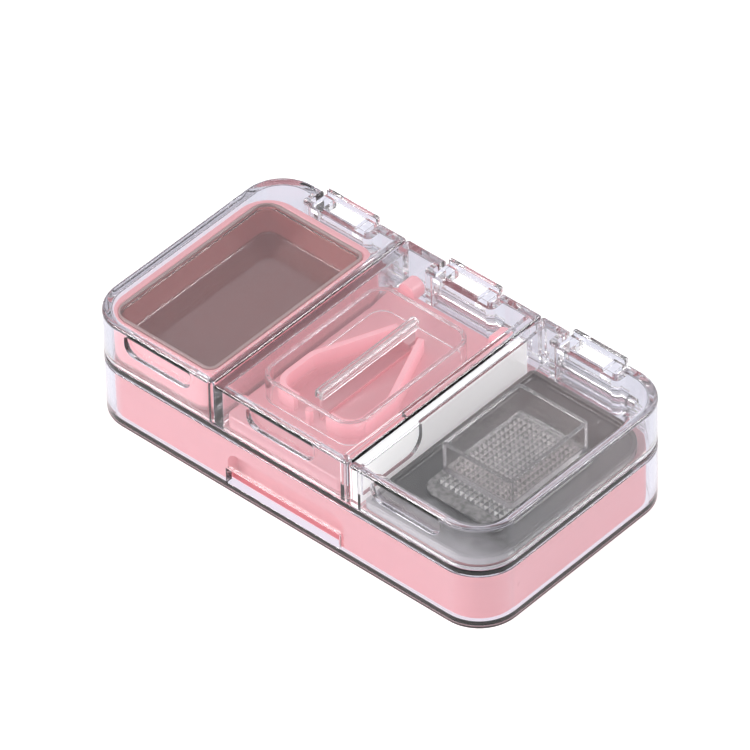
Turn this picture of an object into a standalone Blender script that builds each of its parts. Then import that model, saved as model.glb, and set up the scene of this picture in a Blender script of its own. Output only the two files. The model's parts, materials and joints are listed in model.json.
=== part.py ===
"""Pocket pill splitter: a clear box with a pill cup, a cutter and a grinder above a tray of cells.

Everything is in metres, +Z up. The origin is the centre of the flat underside; the front faces -Y.
Three deep clear lids hinge at the rear of a clear middle plate, and a clear cover hinges under it.
"""

from math import atan2, cos, hypot, pi, radians, sin, tan

import bmesh
import bpy
from mathutils import Matrix, Vector

# ---- driving dimensions ----------------------------------------------------------------------
HALF_LENGTH = 0.062
HALF_DEPTH = 0.034
CORNER = 0.011  # plan radius of the box
BOX_TOP = 0.031
WALL = 0.002  # clear lids and cover
LID_PLATE = 0.001  # top of a lid
GAP = 0.0003  # between touching pieces
SLIP = 0.0002  # under a piece that is pushed in

# Facets
CORNER_STEPS = 6
ARC_STEPS = 4
CIRCLE_STEPS = 16
PIN_STEPS = 12
BARREL_STEPS = 12
SHARP_ANGLE = radians(32)

PLATE_LOW = 0.0167  # clear middle plate
PLATE_HIGH = 0.0183
TOP_FILLET = 0.0010
BASE_THICKNESS = 0.0015

# Lids
DIVIDE = 0.021  # where the lids meet, left and right of the middle
LID_LOW = PLATE_HIGH + 0.00035
LID_CEILING = BOX_TOP - LID_PLATE
LID_INNER_CORNER = 0.0008
POCKET_X = 0.0384  # centre of the outer hinge pockets
POCKET_HALF = 0.0092
POCKET_FRONT = 0.0291
POCKET_WALL = 0.0016
POCKET_CORNER = 0.0016
SCOOP_X = 0.0384
SCOOP_HALF = 0.0104
SCOOP_LOW = 0.0245
SCOOP_HIGH = 0.0297
SCOOP_DEPTH = 0.0012
SCOOP_TOP_CORNER = 0.0008
SCOOP_LOW_CORNER = 0.0030
WINDOW_LOW = 0.0218  # opening in the two lid walls beside the partition
WINDOW_HIGH = LID_CEILING - 0.0005
WINDOW_FRONT = WALL - HALF_DEPTH + 0.0010
WINDOW_REAR = -0.0118
WINDOW_CORNER = 0.0045

# Partition between cutter and grinder; the two thin lid walls beside it are set back for it
PARTITION_X = (0.0206, 0.0225)
PARTITION_Y = (-0.0310, 0.0260)
PARTITION_TOP = 0.0286
PARTITION_EDGE = 0.0003
MIDDLE_SIDE_X = (0.0188, 0.0178)  # outer and inner face of the middle lid's wall
RIGHT_SIDE_X = (0.0229, 0.0239)
SIDE_BAY_Y = (-0.0316, 0.0316)  # room beside the partition
SIDE_BAY_TOP = LID_CEILING - GAP

# Hinges
HINGE_Y = 0.0330
LID_AXIS_Z = 0.0206
COVER_AXIS_Z = PLATE_LOW + PLATE_HIGH - LID_AXIS_Z
KNUCKLE_RADIUS = 0.0020
KNUCKLE_LENGTH = 0.0030
BARREL_RADIUS = 0.0018
BARREL_HALF = POCKET_HALF - GAP
WEB_HALF = 0.0010
PIN_RADIUS = 0.0007
PIN_HOLE = 0.0009
PIN_HALF = POCKET_HALF + KNUCKLE_LENGTH - GAP

# Bridge across the top of each lid's pocket
BRIDGE_HALF = 0.0080
BRIDGE_FRONT = 0.0336
BRIDGE_BACK = 0.0348
BRIDGE_LOW = 0.0294
BRIDGE_TOP = 0.0318
EAR_WIDTH = 0.0030
EAR_LOW = 0.0280

# Pieces inside the upper storey
REAR = 0.0265  # rear face of the inserts, clear of the swinging pocket walls
FRONT = -0.0314
INSERT_LOW = PLATE_HIGH + GAP
INSERT_CORNER = 0.0086

# Pill cup, its liner and seal
CUP_X0 = -0.0595
CUP_X1 = -0.0236
CUP_TOP = 0.0287
CUP_FLOOR = INSERT_LOW + 0.0007
CUP_SMALL_CORNER = 0.0045
CUP_RIM = 0.0017
CUP_WALL = 0.0022
CUP_SHELF = 0.0269
CUP_EDGE = 0.0005
LINER_OUTSIDE = 0.0024
LINER_INSIDE = 0.0032
LINER_FLANGE = 0.0019
LINER_LOW = CUP_FLOOR + SLIP
LINER_FLOOR = LINER_LOW + 0.0007
LINER_TOP = CUP_SHELF + 0.0010
SEAL_INSIDE = 0.0031
SEAL_LOW = LINER_TOP + SLIP / 2
SEAL_TOP = 0.0288

# Cutter
CUTTER_AXIS_X = -0.0016  # blade and V stand left of the middle, for the partition
CUTTER_X = (-0.0185, 0.0175)
CUTTER_TOP = 0.0224
CUTTER_CORNER = 0.0020
CUTTER_EDGE = 0.0008
RIB_TOP = 0.0266
RIB_THICKNESS = 0.0013
RIB_REAR = (0.0036, 0.0126)  # from the axis; the V's rear end, mirrored to the other side
RIB_KNEE = (0.0121, -0.0076)  # where a rib turns straight to the front
RIB_FRONT = (0.0121, -0.0206)
RIB_END = (0.0050, -0.0206)
RIB_KNEE_RADIUS = 0.0030
RIB_FRONT_RADIUS = 0.0045
WELL_FLOOR = 0.0198
WELL_REAR = (0.0027, 0.0124)
WELL_KNEE = (0.0111, -0.0074)
WELL_FRONT = (0.0111, -0.0196)
WELL_KNEE_RADIUS = 0.0026
WELL_FRONT_RADIUS = 0.0036
CUTTER_EAR = (0.0116, 0.0164)  # inner and outer X
CUTTER_EAR_TOP = 0.0255
CUTTER_EAR_RADIUS = 0.0022
CUTTER_EAR_Y = (REAR - 0.0012, REAR + 0.0028)
POST_HALF = 0.0009
POST_Y = (-0.0222, -0.0208)
POST_TOP = RIB_TOP - 0.0006
POST_CORNER = 0.0005
SLOT_HALF = 0.0006
SLOT_Y = (-0.0190, 0.0160)
SLOT_FLOOR = 0.0190
GUARD_HALF = 0.0149
GUARD_FRONT = -0.0240
GUARD_REAR = 0.0190
GUARD_WALL = 0.0012
GUARD_CORNER = 0.0050
HANGING_TOP = LID_CEILING - GAP  # pieces fixed under the lids
HOLDER_HALF = 0.0013
HOLDER_LOW = 0.0270
HOLDER_Y = (-0.0191, 0.0150)
HOLDER_LOW_CORNER = 0.0003
HOLDER_TOP_CORNER = 0.0008
BLADE_HALF = 0.0002
BLADE_Y = (-0.0182, 0.0144)
BLADE_SLIT = BLADE_HALF + SLIP
BLADE_TOP = 0.0286
BLADE_SHOULDER = 0.0222
BLADE_EDGE = 0.0208

# Grinder
GRINDER_X0 = 0.0242
GRINDER_X1 = 0.0596
GRINDER_FLOOR = INSERT_LOW + 0.0010
GRINDER_RIM = INSERT_LOW + 0.0022
GRINDER_WALL = 0.0012
GRINDER_CORNER = 0.0015  # on the side of the cutter
PAD_LOW = GRINDER_FLOOR + SLIP
PAD_TOP = 0.0204
PAD_CORNER = 0.0040
PAD_X = (0.0310, 0.0540)
PAD_Y = (-0.0210, 0.0150)
PAD_FIELD_X = (0.0328, 0.0522)
PAD_FIELD_Y = (-0.0172, 0.0112)
PAD_PYRAMIDS = (8, 12)  # along X and Y
PAD_PYRAMID = 0.0004  # height
PRESS_LOW = 0.0213
PRESS_WALL = 0.0012
PRESS_CORNER = 0.0012
PRESS_X = (0.0316, 0.0530)
PRESS_Y = (-0.0141, 0.0135)
PRESS_FIELD_X = (0.0329, 0.0517)
PRESS_FIELD_Y = (-0.0126, 0.0120)
PRESS_PYRAMIDS = (8, 10)
PRESS_PYRAMID = 0.0001
FIELD_PROUD = 0.0001  # how far a field of pyramids stands out of its piece

# Lower storey
COVER_TOP = PLATE_LOW - GAP
COVER_FOOT = 0.0006  # chamfer round the underside
COVER_POCKET_LOW = 0.0090
NOTCH_HALF = 0.0175
NOTCH_HIGH = 0.0068
TRAY_LOW = BASE_THICKNESS + GAP
TRAY_TOP = PLATE_LOW - GAP
TRAY_REAR = 0.0304  # clear of the cover's rear rim as it swings
TRAY_ROOF = 0.0015
TRAY_WALL = 0.0015
TRAY_EDGE = 0.0008
CELL_CORNER = 0.0025
RECESS_HALF = 0.0180
RECESS_HIGH = 0.0110
RECESS_CORNER = 0.0030
RECESS_BACK = -0.0285
RECESS_BLOCK = -0.0262  # rear of the solid stretch behind the recess

CLEAR = ((0.90, 0.91, 0.94), 0.04, 0.0, 0.28)
CLEAR_DEEP = ((0.84, 0.86, 0.90), 0.06, 0.0, 0.35)
PINK = ((0.91, 0.47, 0.52), 0.30, 0.0, 1.0)
SILICONE = ((0.72, 0.71, 0.72), 0.50, 0.0, 0.60)
STEEL = ((0.66, 0.67, 0.69), 0.22, 1.0, 1.0)
GREY = ((0.34, 0.33, 0.34), 0.20, 0.0, 1.0)
WHITE = ((0.93, 0.93, 0.93), 0.30, 0.0, 1.0)


# ---- outlines --------------------------------------------------------------------------------
def rectangle(x0, x1, y0, y1, radii, inset=0.0):
    """Rounded rectangle, anticlockwise from its front left corner; radii in that order."""
    x0, x1, y0, y1 = x0 + inset, x1 - inset, y0 + inset, y1 - inset
    corners = ((x0, y0, 1, 1), (x1, y0, -1, 1), (x1, y1, -1, -1), (x0, y1, 1, -1))
    points = []
    for number, (x, y, inward_x, inward_y) in enumerate(corners):
        radius = max(radii[number] - inset, GAP)
        for step in range(CORNER_STEPS + 1):
            angle = radians(180 + 90 * number + 90 * step / CORNER_STEPS)
            points.append((
                x + inward_x * radius + radius * cos(angle),
                y + inward_y * radius + radius * sin(angle),
            ))
    return points


def rounded(corners, closed=True, steps=ARC_STEPS):
    """Path through corners given as (x, y, radius), with each corner turned into an arc."""
    count = len(corners)
    points = []
    for number, (x, y, radius) in enumerate(corners):
        if radius == 0.0 or not closed and number in (0, count - 1):
            points.append((x, y))
            continue
        here = Vector((x, y))
        before = (Vector(corners[number - 1][:2]) - here).normalized()
        after = (Vector(corners[(number + 1) % count][:2]) - here).normalized()
        half_angle = before.angle(after) / 2
        centre = here + (before + after).normalized() * radius / sin(half_angle)
        start = here + before * radius / tan(half_angle) - centre
        end = here + after * radius / tan(half_angle) - centre
        first = atan2(start.y, start.x)
        turn = (atan2(end.y, end.x) - first + pi) % (2 * pi) - pi
        for step in range(steps + 1):
            angle = first + turn * step / steps
            points.append((centre.x + radius * cos(angle), centre.y + radius * sin(angle)))
    return points


def ribbon(path, half):
    """Closed outline of a wall that follows a path, half its thickness to each side."""
    left = []
    right = []
    for number, (x, y) in enumerate(path):
        before = path[max(number - 1, 0)]
        after = path[min(number + 1, len(path) - 1)]
        run = Vector((after[0] - before[0], after[1] - before[1])).normalized()
        left.append((x - run.y * half, y + run.x * half))
        right.append((x + run.y * half, y - run.x * half))
    return left + right[::-1]


def circle(x, y, radius, steps=CIRCLE_STEPS):
    return [
        (x + radius * cos(2 * pi * step / steps), y + radius * sin(2 * pi * step / steps))
        for step in range(steps)
    ]


def at_height(points, z):
    return [(x, y, z) for x, y in points]


# ---- solids ----------------------------------------------------------------------------------
def add_object(name, build):
    mesh = bpy.data.meshes.new(name)
    build.to_mesh(mesh)
    build.free()
    obj = bpy.data.objects.new(name, mesh)
    bpy.context.scene.collection.objects.link(obj)
    return obj


def loft(name, rings, closed=False):
    """Solid skinned over rings of equal length; a closed one joins its last ring to its first."""
    build = bmesh.new()
    rows = [[build.verts.new(point) for point in ring] for ring in rings]
    count = len(rows[0])
    pairs = list(zip(rows, rows[1:]))
    if closed:
        pairs.append((rows[-1], rows[0]))
    else:
        build.faces.new(rows[0])
        build.faces.new(rows[-1])
    for low, high in pairs:
        for number in range(count):
            following = (number + 1) % count
            build.faces.new((low[number], low[following], high[following], high[number]))
    bmesh.ops.recalc_face_normals(build, faces=build.faces)
    obj = add_object(name, build)
    obj.data.shade_smooth()
    obj.data.set_sharp_from_angle(angle=SHARP_ANGLE)
    return obj


def prism(name, points, low, high, axis="Z"):
    """Outline pushed along an axis; its points are the other two coordinates, in X, Y, Z order."""
    place = {
        "X": lambda u, v, w: (w, u, v),
        "Y": lambda u, v, w: (u, w, v),
        "Z": lambda u, v, w: (u, v, w),
    }[axis]
    return loft(name, [[place(u, v, level) for u, v in points] for level in (low, high)])


def box(name, x0, x1, y0, y1, z0, z1):
    return prism(name, [(x0, y0), (x1, y0), (x1, y1), (x0, y1)], z0, z1)


def combine(target, tool, operation):
    """Boolean of target with a hidden tool object."""
    tool.hide_render = True
    tool.display_type = "WIRE"
    modifier = target.modifiers.new(tool.name, "BOOLEAN")
    modifier.operation = operation
    modifier.solver = "EXACT"
    modifier.object = tool


def join(target, tool):
    combine(target, tool, "UNION")


def cut(target, tool):
    combine(target, tool, "DIFFERENCE")


def finish(obj, look):
    """Give a piece its own material."""
    colour, roughness, metallic, alpha = look
    material = bpy.data.materials.new(obj.name)
    material.use_nodes = True
    shader = material.node_tree.nodes["Principled BSDF"]
    shader.inputs["Base Color"].default_value = (*colour, 1.0)
    shader.inputs["Roughness"].default_value = roughness
    shader.inputs["Metallic"].default_value = metallic
    shader.inputs["Alpha"].default_value = alpha
    obj.data.materials.append(material)
    return obj


def hang_on_axis(obj, axis_z):
    """Move a piece's origin onto its hinge axis, leaving its shape where it is."""
    origin = Vector((0.0, HINGE_Y, axis_z))
    obj.data.transform(Matrix.Translation(-origin))
    obj.location = origin


def carry(obj, parent):
    """Parent a piece modelled in world coordinates to an unrotated parent."""
    obj.parent = parent
    obj.location = -parent.location


# ---- hinges ----------------------------------------------------------------------------------
def pin_hole(target, name, centre_x, axis_z):
    reach = PIN_HALF + 2 * KNUCKLE_LENGTH
    hole = prism(name, circle(HINGE_Y, axis_z, PIN_HOLE), centre_x - reach, centre_x + reach, "X")
    cut(target, hole)


def hinge_pin(name, centre_x, axis_z):
    """Plain steel pin with chamfered ends."""
    chamfer = PIN_RADIUS / 3
    rings = []
    for x, radius in (
        (-PIN_HALF, PIN_RADIUS - chamfer),
        (chamfer - PIN_HALF, PIN_RADIUS),
        (PIN_HALF - chamfer, PIN_RADIUS),
        (PIN_HALF, PIN_RADIUS - chamfer),
    ):
        rings.append([(centre_x + x, y, z) for y, z in circle(HINGE_Y, axis_z, radius, PIN_STEPS)])
    return finish(loft(name, rings), STEEL)


def add_barrel(frame, name, centre_x, axis_z, up):
    """Barrel on a web, standing on the plate or hanging under it."""
    side = 1 if up else -1
    root = PLATE_HIGH - GAP if up else PLATE_LOW + GAP
    opening = atan2(WEB_HALF, BARREL_RADIUS)
    outline = [(HINGE_Y - WEB_HALF, root), (HINGE_Y + WEB_HALF, root)]
    for step in range(BARREL_STEPS + 1):
        angle = opening + (2 * pi - 2 * opening) * step / BARREL_STEPS - pi / 2
        outline.append((
            HINGE_Y + BARREL_RADIUS * cos(angle),
            axis_z + side * BARREL_RADIUS * sin(angle),
        ))
    barrel = prism(name, outline, centre_x - BARREL_HALF, centre_x + BARREL_HALF, "X")
    join(frame, barrel)
    pin_hole(frame, name + "_hole", centre_x, axis_z)


def add_knuckles(shell, name, centre_x, axis_z):
    """Two bored knuckles outside the pocket's ends."""
    for side, label in ((-1, "left"), (1, "right")):
        near = centre_x + side * POCKET_HALF
        far = near + side * KNUCKLE_LENGTH
        disc = circle(HINGE_Y, axis_z, KNUCKLE_RADIUS)
        knuckle = prism(f"{name}_{label}", disc, min(near, far), max(near, far), "X")
        join(shell, knuckle)
    pin_hole(shell, name + "_hole", centre_x, axis_z)


def add_pocket(shell, name, centre_x, low, high, cut_low, cut_high):
    """Walled bay in the rear of a shell, open to the back."""
    outer = POCKET_HALF + POCKET_WALL
    soft = (POCKET_CORNER, POCKET_CORNER, GAP, GAP)
    wall = rectangle(
        centre_x - outer, centre_x + outer, POCKET_FRONT - POCKET_WALL, HINGE_Y, soft
    )
    join(shell, prism(name + "_walls", wall, low, high))
    bay = rectangle(
        centre_x - POCKET_HALF, centre_x + POCKET_HALF, POCKET_FRONT, HALF_DEPTH + WALL, soft
    )
    cut(shell, prism(name + "_bay", bay, cut_low, cut_high))


# ---- clear shell -----------------------------------------------------------------------------
def make_mid_frame():
    radii = (CORNER,) * 4
    plate = rectangle(-HALF_LENGTH, HALF_LENGTH, -HALF_DEPTH, HALF_DEPTH, radii)
    frame = prism("mid_frame", plate, PLATE_LOW, PLATE_HIGH)
    for name, x in (("left", -POCKET_X), ("middle", 0.0), ("right", POCKET_X)):
        add_barrel(frame, f"barrel_up_{name}", x, LID_AXIS_Z, True)
    for name, x in (("left", -POCKET_X), ("right", POCKET_X)):
        add_barrel(frame, f"barrel_down_{name}", x, COVER_AXIS_Z, False)
    return finish(frame, CLEAR_DEEP)


def add_bridge(lid, name, centre_x):
    """Raised strip across the top of the pocket, on two ears from the pocket's front wall."""
    strip = box(
        name + "_strip",
        centre_x - BRIDGE_HALF, centre_x + BRIDGE_HALF,
        BRIDGE_FRONT, BRIDGE_BACK, BRIDGE_LOW, BRIDGE_TOP,
    )
    for side, label in ((-1, "left"), (1, "right")):
        outer = centre_x + side * BRIDGE_HALF
        inner = outer - side * EAR_WIDTH
        ear = box(
            f"{name}_ear_{label}",
            min(outer, inner), max(outer, inner),
            POCKET_FRONT - GAP, BRIDGE_FRONT + GAP, EAR_LOW, BOX_TOP - GAP,
        )
        join(strip, ear)
    join(lid, strip)


def set_wall_back(lid, name, plate_edge, faces):
    """Turn a lid's wall into a thin one set back from the plate's edge, and open a window in it.

    The faces are the X of the thin wall's outer and inner face.
    """
    outer, inner = faces
    side = 1 if inner > outer else -1
    reach = HALF_DEPTH - WALL / 2
    join(lid, box(
        name + "_wall", min(plate_edge, inner), max(plate_edge, inner),
        -reach, reach, LID_LOW, LID_CEILING + GAP,
    ))
    beyond = plate_edge - side * WALL
    cut(lid, box(
        name + "_bay", min(beyond, outer), max(beyond, outer),
        *SIDE_BAY_Y, LID_LOW - WALL, SIDE_BAY_TOP,
    ))
    window = rounded((
        (WINDOW_FRONT, WINDOW_LOW, GAP), (WINDOW_REAR, WINDOW_LOW, WINDOW_CORNER),
        (WINDOW_REAR, WINDOW_HIGH, GAP), (WINDOW_FRONT, WINDOW_HIGH, GAP),
    ))
    low = min(outer, inner) - GAP
    high = max(outer, inner) + GAP
    cut(lid, prism(name + "_window", window, low, high, "X"))


def make_partition():
    """Upright plate between the cutter and the grinder, with a chamfered top."""
    x0, x1 = PARTITION_X
    profile = (
        (x0, INSERT_LOW), (x1, INSERT_LOW), (x1, PARTITION_TOP - PARTITION_EDGE),
        (x1 - PARTITION_EDGE, PARTITION_TOP), (x0 + PARTITION_EDGE, PARTITION_TOP),
        (x0, PARTITION_TOP - PARTITION_EDGE),
    )
    return finish(prism("partition", profile, *PARTITION_Y, "Y"), WHITE)


def make_lid(name, x0, x1, radii, pocket_x, scoop_x):
    """Deep lid: plate, four walls, hinge pocket at the rear and finger scoop at the front."""
    def ring(inset, z):
        return at_height(rectangle(x0, x1, -HALF_DEPTH, HALF_DEPTH, radii, inset), z)

    fillet = []
    for degrees in (0, 30, 60, 90):
        angle = radians(degrees)
        fillet.append(ring(
            TOP_FILLET * (1 - cos(angle)),
            BOX_TOP - TOP_FILLET * (1 - sin(angle)),
        ))
    lid = loft(name, [ring(WALL, LID_CEILING), ring(WALL, LID_LOW), ring(0.0, LID_LOW)] + fillet)
    clear_of_top = BOX_TOP + WALL
    add_pocket(
        lid, name + "_pocket", pocket_x,
        LID_LOW, LID_CEILING + GAP, LID_LOW - WALL, clear_of_top,
    )
    add_bridge(lid, name + "_bridge", pocket_x)
    add_knuckles(lid, name + "_knuckle", pocket_x, LID_AXIS_Z)
    scoop = rounded((
        (scoop_x - SCOOP_HALF, SCOOP_HIGH, SCOOP_TOP_CORNER),
        (scoop_x - SCOOP_HALF, SCOOP_LOW, SCOOP_LOW_CORNER),
        (scoop_x + SCOOP_HALF, SCOOP_LOW, SCOOP_LOW_CORNER),
        (scoop_x + SCOOP_HALF, SCOOP_HIGH, SCOOP_TOP_CORNER),
    ))
    cut(lid, prism(
        name + "_scoop", scoop, -HALF_DEPTH - WALL, -HALF_DEPTH + SCOOP_DEPTH, "Y"
    ))
    hang_on_axis(lid, LID_AXIS_Z)
    return finish(lid, CLEAR)


def make_bottom_cover():
    radii = (CORNER,) * 4

    def ring(inset, z):
        outline = rectangle(
            -HALF_LENGTH, HALF_LENGTH, -HALF_DEPTH, HALF_DEPTH, radii, inset
        )
        return at_height(outline, z)

    cover = loft("bottom_cover", [
        ring(COVER_FOOT, 0.0), ring(0.0, COVER_FOOT), ring(0.0, COVER_TOP),
        ring(WALL, COVER_TOP), ring(WALL, BASE_THICKNESS),
    ])
    for name, x in (("left", -POCKET_X), ("right", POCKET_X)):
        add_pocket(
            cover, f"cover_pocket_{name}", x,
            COVER_POCKET_LOW - POCKET_WALL, COVER_TOP,
            COVER_POCKET_LOW, COVER_TOP + WALL,
        )
        add_knuckles(cover, f"cover_knuckle_{name}", x, COVER_AXIS_Z)
    cut(cover, box(
        "cover_notch", -NOTCH_HALF, NOTCH_HALF,
        -HALF_DEPTH - WALL, -HALF_DEPTH + WALL + GAP, BASE_THICKNESS, NOTCH_HIGH,
    ))
    hang_on_axis(cover, COVER_AXIS_Z)
    return finish(cover, CLEAR)


# ---- pill compartment ------------------------------------------------------------------------
def cup_ring(inset, z):
    radii = (INSERT_CORNER, CUP_SMALL_CORNER, CUP_SMALL_CORNER, INSERT_CORNER)
    return at_height(rectangle(CUP_X0, CUP_X1, FRONT, REAR, radii, inset), z)


def make_pill_cup():
    cup = loft("pill_cup", [
        cup_ring(CUP_EDGE, INSERT_LOW), cup_ring(0.0, INSERT_LOW + CUP_EDGE),
        cup_ring(0.0, CUP_TOP - CUP_EDGE), cup_ring(CUP_EDGE, CUP_TOP),
        cup_ring(CUP_RIM, CUP_TOP), cup_ring(CUP_RIM, CUP_SHELF),
        cup_ring(CUP_WALL, CUP_SHELF), cup_ring(CUP_WALL, CUP_FLOOR),
    ])
    return finish(cup, PINK)


def make_cup_liner():
    flange_low = CUP_SHELF + SLIP
    liner = loft("cup_liner", [
        cup_ring(LINER_OUTSIDE, LINER_LOW), cup_ring(LINER_OUTSIDE, flange_low),
        cup_ring(LINER_FLANGE, flange_low), cup_ring(LINER_FLANGE, LINER_TOP),
        cup_ring(LINER_INSIDE, LINER_TOP), cup_ring(LINER_INSIDE, LINER_FLOOR),
    ])
    return finish(liner, CLEAR)


def make_cup_seal():
    seal = loft("cup_seal", [
        cup_ring(LINER_FLANGE, SEAL_LOW), cup_ring(LINER_FLANGE, SEAL_TOP),
        cup_ring(SEAL_INSIDE, SEAL_TOP), cup_ring(SEAL_INSIDE, SEAL_LOW),
    ], closed=True)
    return finish(seal, SILICONE)


# ---- cutter ----------------------------------------------------------------------------------
def mirrored(point, side, radius):
    """Corner of a path on one side of the cutter's axis."""
    x, y = point
    return CUTTER_AXIS_X + side * x, y, radius


def add_rib(base, side, label):
    """One arm of the V, turning to the front and in across the tablet's end."""
    path = rounded((
        mirrored(RIB_REAR, side, 0.0), mirrored(RIB_KNEE, side, RIB_KNEE_RADIUS),
        mirrored(RIB_FRONT, side, RIB_FRONT_RADIUS), mirrored(RIB_END, side, 0.0),
    ), closed=False)
    join(base, prism("rib_" + label, ribbon(path, RIB_THICKNESS / 2), CUTTER_TOP - GAP, RIB_TOP))


def add_cutter_ear(base, side, label):
    """Rounded lug at the block's rear that stands beside the hinge."""
    root = CUTTER_TOP - GAP
    inner, outer = (side * x for x in CUTTER_EAR)
    ear = rounded((
        (inner, root, 0.0), (outer, root, 0.0),
        (outer, CUTTER_EAR_TOP, CUTTER_EAR_RADIUS), (inner, CUTTER_EAR_TOP, CUTTER_EAR_RADIUS),
    ))
    join(base, prism("ear_" + label, ear, *CUTTER_EAR_Y, "Y"))


def make_cutter_base():
    """Block with a V of two ribs, a well between them, a slot for the blade and two rear ears."""
    def ring(inset, z):
        return at_height(rectangle(*CUTTER_X, FRONT, REAR, (CUTTER_CORNER,) * 4, inset), z)

    base = loft("cutter_base", [
        ring(0.0, INSERT_LOW), ring(0.0, CUTTER_TOP - CUTTER_EDGE),
        ring(CUTTER_EDGE / 3, CUTTER_TOP - CUTTER_EDGE / 3), ring(CUTTER_EDGE, CUTTER_TOP),
    ])
    for side, label in ((1, "right"), (-1, "left")):
        add_rib(base, side, label)
        add_cutter_ear(base, side, label)
    post = rectangle(
        CUTTER_AXIS_X - POST_HALF, CUTTER_AXIS_X + POST_HALF, *POST_Y, (POST_CORNER,) * 4
    )
    join(base, prism("blade_post", post, CUTTER_TOP - GAP, POST_TOP))
    well = rounded((
        mirrored(WELL_REAR, -1, 0.0), mirrored(WELL_KNEE, -1, WELL_KNEE_RADIUS),
        mirrored(WELL_FRONT, -1, WELL_FRONT_RADIUS), mirrored(WELL_FRONT, 1, WELL_FRONT_RADIUS),
        mirrored(WELL_KNEE, 1, WELL_KNEE_RADIUS), mirrored(WELL_REAR, 1, 0.0),
    ))
    cut(base, prism("well", well, WELL_FLOOR, CUTTER_TOP + GAP))
    cut(base, box(
        "blade_slot", CUTTER_AXIS_X - SLOT_HALF, CUTTER_AXIS_X + SLOT_HALF,
        *SLOT_Y, SLOT_FLOOR, RIB_TOP + GAP,
    ))
    return finish(base, PINK)


def make_blade_guard(lid):
    radii = (GUARD_CORNER,) * 4

    def ring(inset, z):
        outline = rectangle(
            CUTTER_AXIS_X - GUARD_HALF, CUTTER_AXIS_X + GUARD_HALF,
            GUARD_FRONT, GUARD_REAR, radii, inset,
        )
        return at_height(outline, z)

    low = CUTTER_TOP + GAP
    guard = loft("blade_guard", [
        ring(0.0, low), ring(0.0, HANGING_TOP), ring(GUARD_WALL, HANGING_TOP),
        ring(GUARD_WALL, low),
    ], closed=True)
    carry(guard, lid)
    return finish(guard, CLEAR)


def shifted(profile):
    """Profile in X and Z, moved to the cutter's axis."""
    return [(CUTTER_AXIS_X + x, z) for x, z in profile]


def make_blade_holder(lid):
    """Clear rod along Y, slit underneath for the blade."""
    profile = rounded((
        (-HOLDER_HALF, HOLDER_LOW, HOLDER_LOW_CORNER), (-BLADE_SLIT, HOLDER_LOW, 0.0),
        (-BLADE_SLIT, BLADE_TOP + GAP, 0.0), (BLADE_SLIT, BLADE_TOP + GAP, 0.0),
        (BLADE_SLIT, HOLDER_LOW, 0.0), (HOLDER_HALF, HOLDER_LOW, HOLDER_LOW_CORNER),
        (HOLDER_HALF, HANGING_TOP, HOLDER_TOP_CORNER),
        (-HOLDER_HALF, HANGING_TOP, HOLDER_TOP_CORNER),
    ))
    holder = prism("blade_holder", shifted(profile), *HOLDER_Y, "Y")
    carry(holder, lid)
    return finish(holder, CLEAR)


def make_cutter_blade(lid):
    """Thin blade with its edge ground to a point from both sides."""
    profile = (
        (0.0, BLADE_EDGE), (BLADE_HALF, BLADE_SHOULDER), (BLADE_HALF, BLADE_TOP),
        (-BLADE_HALF, BLADE_TOP), (-BLADE_HALF, BLADE_SHOULDER),
    )
    blade = prism("cutter_blade", shifted(profile), *BLADE_Y, "Y")
    carry(blade, lid)
    return finish(blade, STEEL)


# ---- grinder ---------------------------------------------------------------------------------
def make_grinder_base():
    """Shallow tray under the knurled pad."""
    radii = (GRINDER_CORNER, INSERT_CORNER, INSERT_CORNER, GRINDER_CORNER)

    def ring(inset, z):
        outline = rectangle(GRINDER_X0, GRINDER_X1, FRONT, REAR, radii, inset)
        return at_height(outline, z)

    tray = loft("grinder_base", [
        ring(0.0, INSERT_LOW), ring(0.0, GRINDER_RIM),
        ring(GRINDER_WALL, GRINDER_RIM), ring(GRINDER_WALL, GRINDER_FLOOR),
    ])
    return finish(tray, GREY)


def knurl_grid(build, x_range, y_range, z, counts, height):
    """Grid of pyramids raised from a rectangle by height, and the grid's edge vertices in order."""
    columns, rows = counts
    grid = [
        [
            build.verts.new((
                x_range[0] + (x_range[1] - x_range[0]) * column / columns,
                y_range[0] + (y_range[1] - y_range[0]) * row / rows,
                z,
            ))
            for column in range(columns + 1)
        ]
        for row in range(rows + 1)
    ]
    for row in range(rows):
        for column in range(columns):
            corners = (
                grid[row][column], grid[row][column + 1],
                grid[row + 1][column + 1], grid[row + 1][column],
            )
            middle = sum((corner.co for corner in corners), Vector()) / 4
            peak = build.verts.new(middle + Vector((0.0, 0.0, height)))
            for number in range(4):
                build.faces.new((corners[number], corners[(number + 1) % 4], peak))
    edge = grid[0][:-1] + [grid[row][-1] for row in range(rows)]
    edge += grid[-1][:0:-1] + [grid[row][0] for row in range(rows, 0, -1)]
    return edge


def knurled_slab(name, x_range, y_range, z_flat, z_knurl, counts, height):
    """Slab with one flat face and one face of pyramids."""
    build = bmesh.new()
    edge = knurl_grid(build, x_range, y_range, z_knurl, counts, height)
    flat = [build.verts.new((vert.co.x, vert.co.y, z_flat)) for vert in edge]
    build.faces.new(flat)
    for number, vert in enumerate(edge):
        following = (number + 1) % len(edge)
        build.faces.new((vert, edge[following], flat[following], flat[number]))
    bmesh.ops.recalc_face_normals(build, faces=build.faces)
    return add_object(name, build)


def make_grinder_pad():
    """Raised pad whose middle is a field of pyramids."""
    pad = prism("grinder_pad", rectangle(*PAD_X, *PAD_Y, (PAD_CORNER,) * 4), PAD_LOW, PAD_TOP)
    join(pad, knurled_slab(
        "pad_knurl", PAD_FIELD_X, PAD_FIELD_Y,
        PAD_TOP - 2 * GAP, PAD_TOP + FIELD_PROUD, PAD_PYRAMIDS, PAD_PYRAMID,
    ))
    return finish(pad, CLEAR_DEEP)


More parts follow.
